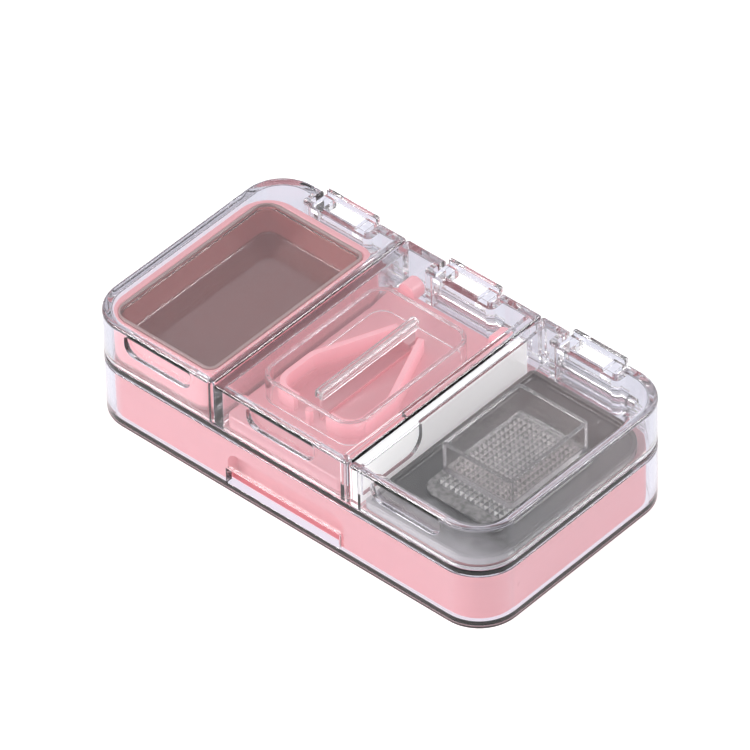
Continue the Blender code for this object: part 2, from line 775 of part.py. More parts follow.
def make_press_block(lid):
    """Hollow block, open to the lid's underside, with pyramids on its lower face."""
    def ring(inset, z):
        return at_height(rectangle(*PRESS_X, *PRESS_Y, (PRESS_CORNER,) * 4, inset), z)

    block = loft("press_block", [
        ring(0.0, PRESS_LOW), ring(0.0, HANGING_TOP),
        ring(PRESS_WALL, HANGING_TOP), ring(PRESS_WALL, PRESS_LOW + PRESS_WALL),
    ])
    join(block, knurled_slab(
        "press_knurl", PRESS_FIELD_X, PRESS_FIELD_Y,
        PRESS_LOW + 2 * GAP, PRESS_LOW - FIELD_PROUD, PRESS_PYRAMIDS, PRESS_PYRAMID,
    ))
    carry(block, lid)
    return finish(block, CLEAR)


# ---- lower storey ----------------------------------------------------------------------------
def add_cell(tray, name, x0, x1, y0, y1, radii):
    outline = rectangle(x0, x1, y0, y1, radii)
    cut(tray, prism(name, outline, TRAY_LOW - WALL, TRAY_TOP - TRAY_ROOF))


def make_lower_tray():
    """Tray of six cells that open downwards, with a finger recess and two hinge recesses."""
    side = WALL + GAP
    radii = (CORNER - side,) * 4

    def ring(inset, z):
        outline = rectangle(
            side - HALF_LENGTH, HALF_LENGTH - side, side - HALF_DEPTH, TRAY_REAR,
            radii, inset,
        )
        return at_height(outline, z)

    tray = loft("lower_tray", [
        ring(TRAY_EDGE, TRAY_LOW), ring(0.0, TRAY_LOW + TRAY_EDGE), ring(0.0, TRAY_TOP),
    ])
    half_wall = TRAY_WALL / 2
    outer_x = HALF_LENGTH - side - TRAY_WALL
    front_y = side + TRAY_WALL - HALF_DEPTH
    rear_y = TRAY_REAR - TRAY_WALL
    hinge_y = REAR - TRAY_WALL
    small = CELL_CORNER
    large = CORNER - side - TRAY_WALL
    columns = (
        ("left", -outer_x, -DIVIDE - half_wall, front_y, hinge_y, large, small),
        ("middle", half_wall - DIVIDE, DIVIDE - half_wall, RECESS_BLOCK, rear_y, small, small),
        ("right", DIVIDE + half_wall, outer_x, front_y, hinge_y, small, large),
    )
    for name, x0, x1, y0, y1, left, right in columns:
        half_way = (y0 + y1) / 2
        add_cell(
            tray, f"cell_{name}_front", x0, x1, y0, half_way - half_wall,
            (left, right, small, small),
        )
        add_cell(
            tray, f"cell_{name}_rear", x0, x1, half_way + half_wall, y1, (small,) * 4
        )
    recess = rounded((
        (-RECESS_HALF, TRAY_LOW - WALL, 0.0), (RECESS_HALF, TRAY_LOW - WALL, 0.0),
        (RECESS_HALF, RECESS_HIGH, RECESS_CORNER), (-RECESS_HALF, RECESS_HIGH, RECESS_CORNER),
    ))
    cut(tray, prism("finger_recess", recess, -HALF_DEPTH, RECESS_BACK, "Y"))
    reach = POCKET_HALF + KNUCKLE_LENGTH + 2 * GAP
    for name, x in (("left", -POCKET_X), ("right", POCKET_X)):
        cut(tray, box(
            f"hinge_recess_{name}", x - reach, x + reach,
            REAR, HALF_DEPTH, TRAY_LOW - WALL, TRAY_TOP + WALL,
        ))
    return finish(tray, PINK)


# ---- assembly --------------------------------------------------------------------------------
def main():
    for obj in list(bpy.data.objects):
        bpy.data.objects.remove(obj, do_unlink=True)
    make_mid_frame()
    make_bottom_cover()
    make_lower_tray()
    outer = CORNER
    inner = LID_INNER_CORNER
    half_gap = GAP / 2
    make_lid(
        "left_lid", -HALF_LENGTH, -DIVIDE - half_gap,
        (outer, inner, inner, outer), -POCKET_X, -SCOOP_X,
    )
    middle_lid = make_lid(
        "middle_lid", half_gap - DIVIDE, DIVIDE - half_gap, (inner,) * 4, 0.0, 0.0
    )
    right_lid = make_lid(
        "right_lid", DIVIDE + half_gap, HALF_LENGTH,
        (inner, outer, outer, inner), POCKET_X, SCOOP_X,
    )
    set_wall_back(middle_lid, "middle_side", DIVIDE - half_gap, MIDDLE_SIDE_X)
    set_wall_back(right_lid, "right_side", DIVIDE + half_gap, RIGHT_SIDE_X)
    make_partition()
    make_pill_cup()
    make_cup_liner()
    make_cup_seal()
    make_cutter_base()
    make_blade_guard(middle_lid)
    make_blade_holder(middle_lid)
    make_cutter_blade(middle_lid)
    make_grinder_base()
    make_grinder_pad()
    make_press_block(right_lid)
    for name, x in (("left", -POCKET_X), ("middle", 0.0), ("right", POCKET_X)):
        hinge_pin(f"{name}_lid_pin", x, LID_AXIS_Z)
    for name, x in (("left", -POCKET_X), ("right", POCKET_X)):
        hinge_pin(f"{name}_cover_pin", x, COVER_AXIS_Z)


main()
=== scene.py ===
"""Looks of a pocket pill splitter: clear lids, frame and cover round pink, grey and steel pieces.

Every piece stands where its CAD solid stands, with finer arcs, real edge fillets and its own
procedural material. Lengths are in metres, +Z is up and the front faces -Y.
"""
import json
from math import atan2, cos, pi, radians, sin, tan

import bmesh
import bpy
from mathutils import Matrix, Vector


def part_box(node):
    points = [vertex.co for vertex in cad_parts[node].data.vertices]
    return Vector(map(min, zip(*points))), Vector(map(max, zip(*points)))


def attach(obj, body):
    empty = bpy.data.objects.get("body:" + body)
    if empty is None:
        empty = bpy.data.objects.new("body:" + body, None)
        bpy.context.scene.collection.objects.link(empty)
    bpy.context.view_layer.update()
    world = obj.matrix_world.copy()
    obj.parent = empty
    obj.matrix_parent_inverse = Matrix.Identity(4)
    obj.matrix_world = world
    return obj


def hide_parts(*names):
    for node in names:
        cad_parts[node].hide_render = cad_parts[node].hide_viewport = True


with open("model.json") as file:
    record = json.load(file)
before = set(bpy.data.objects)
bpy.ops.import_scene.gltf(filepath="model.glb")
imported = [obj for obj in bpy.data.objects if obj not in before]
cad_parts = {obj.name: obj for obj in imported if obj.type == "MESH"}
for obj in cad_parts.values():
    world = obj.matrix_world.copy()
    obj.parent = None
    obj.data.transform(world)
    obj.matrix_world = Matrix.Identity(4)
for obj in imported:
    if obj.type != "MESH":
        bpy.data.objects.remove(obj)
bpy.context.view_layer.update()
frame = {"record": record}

# ---- places taken from the frame ---------------------------------------------------------------
PLAN_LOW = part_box("bottom_cover")[0]
HALF_LENGTH = -PLAN_LOW.x
HALF_DEPTH = -PLAN_LOW.y
HINGE_Y = (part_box("left_lid_pin")[0].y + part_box("left_lid_pin")[1].y) / 2
LID_AXIS_Z = (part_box("left_lid_pin")[0].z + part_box("left_lid_pin")[1].z) / 2
COVER_AXIS_Z = (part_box("left_cover_pin")[0].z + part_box("left_cover_pin")[1].z) / 2
POCKET_X = (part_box("right_lid_pin")[0].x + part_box("right_lid_pin")[1].x) / 2
CUTTER_X = (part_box("cutter_blade")[0].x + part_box("cutter_blade")[1].x) / 2

# ---- sizes the solids share --------------------------------------------------------------------
CORNER = 0.011  # plan radius of the box
SEAM = 0.00002  # flat sliver between a fillet and the end face of a turned solid
BOX_TOP = 0.031
WALL = 0.002
GAP = 0.0003
LEAST_RADIUS = 0.0004  # an inset corner never gets sharper than this
PLATE_LOW = 0.0167
PLATE_HIGH = 0.0183
BASE_THICKNESS = 0.0015
LID_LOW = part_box("left_lid")[0].z
LID_PLATE = 0.001
LID_CEILING = BOX_TOP - LID_PLATE
TOP_FILLET = 0.0010
CEILING_FILLET = 0.0008
EDGE = 0.0003  # small fillet on clear mouldings
RIM_RADIUS = 0.00025  # rims of what is cut into the lids' outer faces

POCKET_HALF = 0.0092
POCKET_FRONT = 0.0291
POCKET_WALL = 0.0016
POCKET_CORNER = 0.0016
SCOOP_HALF = 0.0104
SCOOP_LOW = 0.0245
SCOOP_HIGH = 0.0297
SCOOP_DEPTH = 0.0012
SCOOP_TOP_CORNER = 0.0008
SCOOP_LOW_CORNER = 0.0030
LID_INNER_CORNER = 0.0008  # plan radius where two lids meet

WINDOW_LOW = 0.0218  # opening in the two lid walls beside the partition
WINDOW_HIGH = LID_CEILING - 0.0005
WINDOW_FRONT = WALL - HALF_DEPTH + 0.0010
WINDOW_REAR = -0.0118
WINDOW_CORNER = 0.0045
MIDDLE_SIDE_X = (0.0188, 0.0178)  # outer and inner face of the middle lid's thin wall
RIGHT_SIDE_X = (0.0229, 0.0239)
SIDE_BAY_REACH = 0.0316
SIDE_BAY_TOP = LID_CEILING - GAP

KNUCKLE_RADIUS = 0.0020
KNUCKLE_LENGTH = 0.0030
BARREL_RADIUS = 0.0018
BARREL_HALF = POCKET_HALF - GAP
WEB_HALF = 0.0010
PIN_RADIUS = 0.0007
PIN_HOLE = 0.0009
PIN_HALF = POCKET_HALF + KNUCKLE_LENGTH - GAP

BRIDGE_HALF = 0.0080
BRIDGE_FRONT = 0.0336
BRIDGE_BACK = 0.0348
BRIDGE_LOW = 0.0294
BRIDGE_TOP = 0.0318
EAR_WIDTH = 0.0030
EAR_LOW = 0.0280

REAR = 0.0265
INSERT_LOW = PLATE_HIGH + GAP
INSERT_CORNER = 0.0086
CUP_SMALL_CORNER = 0.0045
CUP_TIGHTER = 0.9
CUP_TOP = 0.0287
CUP_FLOOR = 0.0193
CUP_RIM = 0.0017
CUP_WALL = 0.0022
CUP_SHELF = 0.0269
LINER_OUTSIDE = 0.0024
LINER_INSIDE = 0.0032
LINER_FLANGE = 0.0019
LINER_LOW = 0.0195
LINER_FLOOR = 0.0202
LINER_TOP = 0.0279
SEAL_INSIDE = 0.0027
SEAL_LOW = 0.0280
SEAL_TOP = 0.0288

CUTTER_TOP = 0.0224
CUTTER_CORNER = 0.0020
RIB_TOP = 0.0266
RIB_THICKNESS = 0.0015
RIB_REAR = (0.0036, 0.0126)  # the right rib's line and well's edge, from the cutter's axis
RIB_KNEE = (0.0121, -0.0076)
RIB_FRONT = (0.0121, -0.0206)
RIB_END = (0.0050, -0.0206)
RIB_KNEE_RADIUS = 0.0030
RIB_FRONT_RADIUS = 0.0045
WELL_REAR = (0.0027, 0.0124)
WELL_KNEE = (0.0111, -0.0074)
WELL_FRONT = (0.0111, -0.0196)
WELL_KNEE_RADIUS = 0.0026
WELL_FRONT_RADIUS = 0.0036
WELL_FLOOR = 0.0198
SLOT_HALF = 0.0006
SLOT_FLOOR = 0.0190
SLOT_FRONT = -0.0190
SLOT_REAR = 0.0160
EAR_NEAR = 0.0116  # the cutter base's rear ears, from the box's middle
EAR_FAR = 0.0164
EAR_TOP = 0.0255
EAR_CORNER = 0.0022
POST_HALF = 0.0009
POST_FRONT = -0.0222
POST_REAR = -0.0208
GUARD_WALL = 0.0012
GUARD_CORNER = 0.0050
HANGING_TOP = LID_CEILING - GAP
HOLDER_HALF = 0.0013
HOLDER_LOW = 0.0270
BLADE_HALF = 0.0002
BLADE_TOP = 0.0286
BLADE_SHOULDER = 0.0222
BLADE_EDGE = 0.0208

GRINDER_FLOOR = 0.0196
GRINDER_RIM = 0.0208
GRINDER_WALL = 0.0012
PAD_LOW = 0.0198
PAD_TOP = 0.0204
PAD_CORNER = 0.0040
PRESS_LOW = 0.0213
PRESS_WALL = 0.0012
KNURL_PITCH = 0.0015

COVER_TOP = PLATE_LOW - GAP
COVER_POCKET_LOW = 0.0090
NOTCH_HALF = 0.0175
NOTCH_LOW = BASE_THICKNESS + 0.0010
NOTCH_HIGH = 0.0068
TRAY_LOW = BASE_THICKNESS + GAP
TRAY_TOP = PLATE_LOW - GAP
TRAY_ROOF = 0.0015
TRAY_WALL = 0.0015
CELL_CORNER = 0.0025
DIVIDE = 0.021
RECESS_HALF = 0.0180
RECESS_LOW = TRAY_LOW + 0.0006
RECESS_HIGH = 0.0110
RECESS_BACK = -0.0285
RECESS_BLOCK = -0.0262
RECESS_CORNER = 0.0030

# ---- facets ------------------------------------------------------------------------------------
CORNER_STEPS = 14
ARC_STEPS = 6
CIRCLE_STEPS = 32
SHARP_ANGLE = radians(35)
MERGE_DISTANCE = 1e-6
CLEAR_OF = 0.002  # how far cutters reach past a surface


# ---- outlines ----------------------------------------------------------------------------------
def rectangle(x0, x1, y0, y1, radii, inset=0.0):
    """Rounded rectangle, anticlockwise from its front left corner; radii in that order."""
    x0, x1, y0, y1 = x0 + inset, x1 - inset, y0 + inset, y1 - inset
    corners = ((x0, y0, 1, 1), (x1, y0, -1, 1), (x1, y1, -1, -1), (x0, y1, 1, -1))
    points = []
    for number, (x, y, inward_x, inward_y) in enumerate(corners):
        radius = max(radii[number] - inset, LEAST_RADIUS)
        for step in range(CORNER_STEPS + 1):
            angle = radians(180 + 90 * number + 90 * step / CORNER_STEPS)
            points.append((
                x + inward_x * radius + radius * cos(angle),
                y + inward_y * radius + radius * sin(angle),
            ))
    return points


def rounded(corners, closed=True, steps=ARC_STEPS):
    """Path through corners given as (x, y, radius), with each corner turned into an arc."""
    count = len(corners)
    points = []
    for number, (x, y, radius) in enumerate(corners):
        if radius == 0.0 or not closed and number in (0, count - 1):
            points.append((x, y))
            continue
        here = Vector((x, y))
        before = (Vector(corners[number - 1][:2]) - here).normalized()
        after = (Vector(corners[(number + 1) % count][:2]) - here).normalized()
        half_angle = before.angle(after) / 2
        centre = here + (before + after).normalized() * radius / sin(half_angle)
        start = here + before * radius / tan(half_angle) - centre
        end = here + after * radius / tan(half_angle) - centre
        first = atan2(start.y, start.x)
        turn = (atan2(end.y, end.x) - first + pi) % (2 * pi) - pi
        for step in range(steps + 1):
            angle = first + turn * step / steps
            points.append((centre.x + radius * cos(angle), centre.y + radius * sin(angle)))
    return points


def ribbon(path, half):
    """Closed outline of a wall that follows a path, half its thickness to each side."""
    left = []
    right = []
    for number, (x, y) in enumerate(path):
        before = path[max(number - 1, 0)]
        after = path[min(number + 1, len(path) - 1)]
        run = Vector((after[0] - before[0], after[1] - before[1])).normalized()
        left.append((x - run.y * half, y + run.x * half))
        right.append((x + run.y * half, y - run.x * half))
    return left + right[::-1]


def circle(x, y, radius):
    angles = [2 * pi * step / CIRCLE_STEPS for step in range(CIRCLE_STEPS)]
    return [(x + radius * cos(angle), y + radius * sin(angle)) for angle in angles]


def plan(x0, x1, y0, y1, radii):
    """Outline of a turned solid: the rounded rectangle as a function of its inset."""
    return lambda inset: rectangle(x0, x1, y0, y1, radii, inset)


def plan_of(node, radii):
    low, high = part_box(node)
    return plan(low.x, high.x, low.y, high.y, radii)


def box_plan():
    return plan(-HALF_LENGTH, HALF_LENGTH, -HALF_DEPTH, HALF_DEPTH, (CORNER,) * 4)


# ---- meshes ------------------------------------------------------------------------------------
def add_object(name, build):
    """Object of a finished bmesh, smooth except where it turns sharply."""
    bmesh.ops.recalc_face_normals(build, faces=build.faces)
    mesh = bpy.data.meshes.new(name)
    build.to_mesh(mesh)
    build.free()
    obj = bpy.data.objects.new(name, mesh)
    bpy.context.scene.collection.objects.link(obj)
    return obj


def loft(name, rings, closed=False, soft=0.0):
    """Solid skinned over rings of equal length; soft rounds the rims of its two end faces."""
    build = bmesh.new()
    rows = [[build.verts.new(point) for point in ring] for ring in rings]
    count = len(rows[0])
    pairs = list(zip(rows, rows[1:]))
    ends = []
    if closed:
        pairs.append((rows[-1], rows[0]))
    else:
        ends = [build.faces.new(rows[0]), build.faces.new(rows[-1])]
    for low, high in pairs:
        for number in range(count):
            following = (number + 1) % count
            build.faces.new((low[number], low[following], high[following], high[number]))
    if soft:
        rims = {edge for face in ends for edge in face.edges}
        bmesh.ops.bevel(
            build, geom=list(rims), offset=soft, segments=3, profile=0.5, affect="EDGES"
        )
    return add_object(name, build)


def prism(name, points, low, high, axis="Z", soft=0.0):
    """Outline pushed along an axis; its points are the other two coordinates, in X, Y, Z order."""
    place = {
        "X": lambda u, v, w: (w, u, v),
        "Y": lambda u, v, w: (u, w, v),
        "Z": lambda u, v, w: (u, v, w),
    }[axis]
    rings = [[place(u, v, level) for u, v in points] for level in (low, high)]
    return loft(name, rings, soft=soft)


def block(name, x0, x1, y0, y1, z0, z1, soft=EDGE):
    """Box with every edge rounded."""
    build = bmesh.new()
    bmesh.ops.create_cube(build, size=1.0)
    for vert in build.verts:
        vert.co = Vector((
            x0 if vert.co.x < 0 else x1,
            y0 if vert.co.y < 0 else y1,
            z0 if vert.co.z < 0 else z1,
        ))
    if soft:
        bmesh.ops.bevel(
            build, geom=list(build.edges), offset=soft, segments=3, profile=0.5,
            affect="EDGES",
        )
    return add_object(name, build)


def turned(name, outline, profile, closed=False):
    """Solid whose rings are outline(inset) at the heights of a profile of (inset, z) points."""
    return loft(name, [[(x, y, z) for x, y in outline(inset)] for inset, z in profile], closed)


def combine(target, tool, operation):
    """Boolean of target with a tool object, done at once; the tool is used up."""
    modifier = target.modifiers.new("combine", "BOOLEAN")
    modifier.operation = operation
    modifier.solver = "EXACT"
    modifier.object = tool
    bpy.context.view_layer.update()
    depsgraph = bpy.context.evaluated_depsgraph_get()
    mesh = bpy.data.meshes.new_from_object(target.evaluated_get(depsgraph))
    old = target.data
    target.modifiers.clear()
    target.data = mesh
    bpy.data.meshes.remove(old)
    bpy.data.objects.remove(tool, do_unlink=True)


def join(target, tool):
    combine(target, tool, "UNION")


def cut(target, tool):
    combine(target, tool, "DIFFERENCE")


def soften(obj, radius, chosen):
    """Round the sharp edges both of whose ends pass a test, such as the rim of a cut."""
    build = bmesh.new()
    build.from_mesh(obj.data)
    bmesh.ops.remove_doubles(build, verts=build.verts, dist=MERGE_DISTANCE)
    edges = [
        edge for edge in build.edges
        if len(edge.link_faces) == 2
        and edge.calc_face_angle() > SHARP_ANGLE
        and all(chosen(vert.co) for vert in edge.verts)
    ]
    bmesh.ops.bevel(
        build, geom=edges, offset=radius, segments=2, profile=0.5,
        affect="EDGES", clamp_overlap=True,
    )
    build.to_mesh(obj.data)
    build.free()


def place(obj, node, slot, material):
    """Make a piece stand for a CAD node: it rides on that node's body and takes that finish."""
    obj.data.materials.clear()
    obj.data.materials.append(material)
    obj.data.shade_smooth()
    obj.data.set_sharp_from_angle(angle=SHARP_ANGLE)
    weighted = obj.modifiers.new("weighted_normals", "WEIGHTED_NORMAL")
    weighted.keep_sharp = True
    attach(obj, body_with(node))
    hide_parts(node)


def body_with(node):
    bodies = frame["record"]["behaviour"]["bodies"]
    return next(name for name, nodes in bodies.items() if node in nodes)


# ---- materials ---------------------------------------------------------------------------------
PLASTIC_IOR = 1.5
# The dark line along the foot is painted shade, standing in for the pink tray's underside in shade.
PAINTED_DARK_LINE_TOP = 0.0009  # of the line along the low edge of a moulding that stands on the ground


class Nodes:
    """A material's node tree with short ways to add and link nodes."""

    def __init__(self, name):
        self.material = bpy.data.materials.new(name)
        self.material.use_nodes = True
        self.tree = self.material.node_tree
        self.shader = self.tree.nodes["Principled BSDF"]
        self.output = self.tree.nodes["Material Output"]
        self.coordinates = self.tree.nodes.new("ShaderNodeTexCoord").outputs["Object"]

    def feed(self, socket, value):
        """Link an output to an input socket, or set the socket to a constant."""
        if isinstance(value, bpy.types.NodeSocket):
            self.tree.links.new(value, socket)
        else:
            socket.default_value = value

    def add(self, kind, **inputs):
        node = self.tree.nodes.new("ShaderNode" + kind)
        for key, value in inputs.items():
            self.feed(node.inputs[key.replace("_", " ")], value)
        return node

    def shade(self, **inputs):
        """Feed sockets of the main shader."""
        for key, value in inputs.items():
            self.feed(self.shader.inputs[key.replace("_", " ")], value)

    def stretched(self, scale):
        """The object's coordinates, scaled differently along its three axes."""
        return self.add("Mapping", Vector=self.coordinates, Scale=scale).outputs["Vector"]

    def noise(self, scale, detail=3.0, roughness=0.5, vector=None):
        node = self.add(
            "TexNoise", Vector=vector or self.coordinates,
            Scale=scale, Detail=detail, Roughness=roughness,
        )
        return node.outputs["Fac"]

    def remap(self, value, low, high, to_low, to_high):
        node = self.add(
            "MapRange", Value=value, From_Min=low, From_Max=high, To_Min=to_low, To_Max=to_high
        )
        return node.outputs["Result"]

    def math(self, operation, first, second):
        node = self.tree.nodes.new("ShaderNodeMath")
        node.operation = operation
        for socket, value in zip(node.inputs, (first, second)):
            self.feed(socket, value)
        return node.outputs["Value"]

    def blend(self, factor, first, second):
        """Colour between two colours or colour sockets."""
        node = self.tree.nodes.new("ShaderNodeMix")
        node.data_type = "RGBA"
        for name, value in (("Factor", factor), ("A", first), ("B", second)):
            socket = next(
                s for s in node.inputs
                if s.name == name and s.type == ("VALUE" if name == "Factor" else "RGBA")
            )
            self.feed(socket, value)
        return next(s for s in node.outputs if s.type == "RGBA")

    def spread(self, noise, to_low, to_high):
        """Noise, which lies mostly between these two values, stretched over a range."""
        return self.remap(noise, 0.3, 0.7, to_low, to_high)

    def bump(self, height, distance):
        node = self.add("Bump", Height=height, Distance=distance, Strength=1.0)
        self.shade(Normal=node.outputs["Normal"])

    def show_instead(self, factor, other):
        """Send the main shader out, or another one where a factor is 1."""
        mix = self.add("MixShader", Fac=factor)
        self.feed(mix.inputs[1], self.shader.outputs[0])
        self.feed(mix.inputs[2], other.outputs[0])
        self.feed(self.output.inputs["Surface"], mix.outputs[0])


def clear_plastic(name, tint, shade, density, haze, foot=None):
    """Polished clear plastic: smudges vary its gloss, and long paths through it darken.

    Rays to lamps and rays that leave dull surfaces pass straight through it.  Where the moulding
    stands on the ground, the rim of its floor, as high as foot, is partly opaque and painted: a
    painted dark line low down stands in for the underside of the pink tray in shade, seen by
    reflection, and a painted pink band above it stands in for the pink tray seen through the foot.
    """
    n = Nodes(name)
    smudges = n.noise(90.0, 4.0, 0.6)
    n.shade(
        Base_Color=(*tint, 1.0), Transmission_Weight=1.0, IOR=PLASTIC_IOR,
        Roughness=n.remap(smudges, 0.35, 0.75, haze, haze * 3.5),
    )
    n.bump(n.noise(160.0, 2.0), 0.00001)
    if foot is not None:
        # Painted shade and reflection round the foot: dark below the line, pink above it, partly
        # opaque.
        height = n.add("SeparateXYZ", Vector=n.coordinates).outputs["Z"]
        underside = n.remap(height, 0.00002, 0.0001, 1.0, 0.0)
        above = n.remap(height, foot - 0.0002, foot - 0.0001, 0.0, 1.0)
        unpainted = n.math("MAXIMUM", underside, above)
        above_painted_line = n.remap(height, PAINTED_DARK_LINE_TOP, PAINTED_DARK_LINE_TOP + 0.0001, 0.0, 1.0)
        edge = n.blend(above_painted_line, (0.035, 0.030, 0.033, 1.0), (0.45, 0.30, 0.33, 1.0))
        n.shade(
            Base_Color=n.blend(unpainted, edge, (*tint, 1.0)),
            Transmission_Weight=n.remap(unpainted, 0.0, 1.0, 0.35, 1.0),
        )
    paths = n.add("LightPath")
    straight = n.math(
        "MAXIMUM", paths.outputs["Is Shadow Ray"], paths.outputs["Is Diffuse Ray"]
    )
    n.show_instead(straight, n.add("BsdfTransparent", Color=(*shade, 1.0)))
    absorb = n.add("VolumeAbsorption", Color=(0.50, 0.48, 0.50, 1.0), Density=density)
    n.feed(n.output.inputs["Volume"], absorb.outputs[0])
    return n.material


def dull_plastic(name, colour, deeper, roughness, grain, painted_glow=0.0, painted_shade_span=None):
    """Opaque moulded plastic with a slight mottle, uneven gloss and a fine moulded grain.

    Its emission is painted light, as the part is no lamp. The last argument gives two heights
    between which it turns from painted shade, a darker colour low down, to its own colour, and how
    bright that painted shade is.
    """
    n = Nodes(name)
    mottle = n.spread(n.noise(70.0, 4.0), 0.0, 1.0)
    base = n.blend(mottle, (*colour, 1.0), (*deeper, 1.0))
    # Painted shade: darker below the first height, fading out by the second.
    if painted_shade_span:
        height = n.add("SeparateXYZ", Vector=n.coordinates).outputs["Z"]
        low, high, share = painted_shade_span
        above_painted_shade = n.remap(height, low, high, 0.0, 1.0)
        base = n.blend(above_painted_shade, [channel * share for channel in deeper] + [1.0], base)
    gloss = n.noise(320.0, 3.0, 0.6)
    n.shade(
        Base_Color=base, Roughness=n.spread(gloss, roughness * 0.85, roughness * 1.2),
        # The emission is painted brightening, not a lamp.
        Emission_Color=base, Emission_Strength=painted_glow,
    )
    n.bump(n.noise(5200.0, 2.0), grain)
    return n.material


def dark_plastic_with_painted_reflection(name, front, rear, y_front, y_rear):
    """Glossy dark moulding, pale at its front end, whose colour turns along Y in a swirl to a mauve
    at its rear; the mauve is a painted reflection of the pink parts seen in it.
    """
    n = Nodes(name)
    place_y = n.add("SeparateXYZ", Vector=n.coordinates).outputs["Y"]
    swirl = n.spread(n.noise(60.0, 3.0), -0.004, 0.004)
    place_y = n.math("ADD", place_y, swirl)
    turn = n.remap(place_y, y_front, y_rear, 0.0, 1.0)
    # Painted reflection: mauve towards the rear, in place of the pink parts seen in the floor.
    dark = n.blend(turn, (*front, 1.0), (*rear, 1.0))
    pale = n.remap(place_y, y_front - 0.019, y_front - 0.012, 1.0, 0.0)
    n.shade(
        Base_Color=n.blend(pale, dark, (0.52, 0.50, 0.54, 1.0)),
        Roughness=n.spread(n.noise(240.0, 4.0, 0.6), 0.12, 0.24),
    )
    n.bump(n.noise(900.0, 3.0), 0.000006)
    return n.material


def plastic_with_painted_glints(name, dark, bright):
    """Knurled plastic, partly clear, with painted glints: each facet's colour turns from dark to
    bright by which way it faces, spread at random.
    """
    n = Nodes(name)
    facing = n.add("SeparateXYZ", Vector=n.add("NewGeometry").outputs["Normal"])
    lean = n.math("ADD", facing.outputs["X"], n.math("MULTIPLY", facing.outputs["Y"], 0.6))
    uneven = n.spread(n.noise(700.0, 1.0), -0.25, 0.25)
    painted_glint = n.remap(n.math("ADD", lean, uneven), -0.5, 0.6, 0.0, 1.0)
    n.shade(
        Base_Color=n.blend(painted_glint, (*dark, 1.0), (*bright, 1.0)),
        Transmission_Weight=0.4, IOR=PLASTIC_IOR,
        Roughness=n.spread(n.noise(300.0), 0.03, 0.10),
    )
    return n.material


def steel(name, along):
    """Bright steel, brushed along one axis, with darker grinding marks."""
    n = Nodes(name)
    across = [4200.0] * 3
    across[along] = 60.0
    streaks = n.noise(1.0, 3.0, 0.6, n.stretched(across))
    n.shade(
        Base_Color=n.blend(streaks, (0.90, 0.89, 0.89, 1.0), (0.74, 0.73, 0.73, 1.0)),
        Metallic=1.0, Roughness=n.spread(streaks, 0.10, 0.24),
    )
    n.bump(streaks, 0.000004)
    return n.material


CLEAR = clear_plastic("clear_plastic", (0.97, 0.97, 0.975), (0.99, 0.985, 0.985), 45.0, 0.012)
FRAME_CLEAR = clear_plastic(
    "frame_plastic", (0.95, 0.945, 0.965), (0.98, 0.975, 0.98), 50.0, 0.015
)
# The liner's brownish colour and the darker colour it gives rays to lamps are partly its own tint
# and partly painted shade, which darkens the inside of the cup.
LINER_CLEAR = clear_plastic(
    "liner_plastic", (0.74, 0.56, 0.53), (0.70, 0.53, 0.50), 30.0, 0.012
)
# Painted glints on the knurled pad.
KNURL_CLEAR = plastic_with_painted_glints("knurl_plastic", (0.015, 0.010, 0.010), (0.74, 0.72, 0.72))
PRESS_CLEAR = clear_plastic(
    "press_plastic", (0.97, 0.94, 0.93), (0.97, 0.95, 0.95), 50.0, 0.012
)
COVER_CLEAR = clear_plastic(
    "cover_plastic", (0.97, 0.955, 0.96), (0.99, 0.985, 0.985), 14.0, 0.012, BASE_THICKNESS
)
ROD_CLEAR = clear_plastic("rod_plastic", (0.97, 0.97, 0.97), (0.97, 0.97, 0.97), 60.0, 0.10)
PINK = dull_plastic("pink_plastic", (0.90, 0.42, 0.47), (0.88, 0.405, 0.455), 0.32, 0.000003)
# A brighter copy of the pink, lit up by painted emission, with painted shade from the rib tops
# down, darkest in the well and slot.
CUTTER_PINK = dull_plastic(
    "cutter_plastic", (1.0, 0.50, 0.56), (0.97, 0.43, 0.49), 0.32, 0.000003, 0.36,
    (0.0215, RIB_TOP - 0.0004, 0.66),
)
# A brighter copy of the pink, lit up by painted emission, with painted shade on the cup's floor.
CUP_PINK = dull_plastic(
    "cup_plastic", (0.97, 0.46, 0.51), (0.93, 0.44, 0.49), 0.32, 0.000003, 0.21,
    (CUP_FLOOR + 0.0002, CUP_FLOOR + 0.0012, 0.45),
)
# Painted emission brightens the white partition, which is no lamp.
WHITE = dull_plastic("white_plastic", (0.96, 0.96, 0.96), (0.93, 0.93, 0.93), 0.35, 0.000003, 0.50)
# Its mauve towards the rear is a painted reflection of the pink parts.
GREY = dark_plastic_with_painted_reflection("grey_plastic", (0.032, 0.030, 0.030), (0.13, 0.09, 0.09), -0.010, 0.020)
SILICONE = dull_plastic("silicone", (0.60, 0.40, 0.40), (0.52, 0.34, 0.34), 0.25, 0.000004)
STEEL_X = steel("pin_steel", 0)
STEEL_Y = steel("blade_steel", 1)


# ---- hinges ------------------------------------------------------------------------------------
def pin_hole(target, centre_x, axis_z):
    reach = PIN_HALF + 2 * KNUCKLE_LENGTH
    disc = circle(HINGE_Y, axis_z, PIN_HOLE)
    cut(target, prism("pin_hole", disc, centre_x - reach, centre_x + reach, "X"))


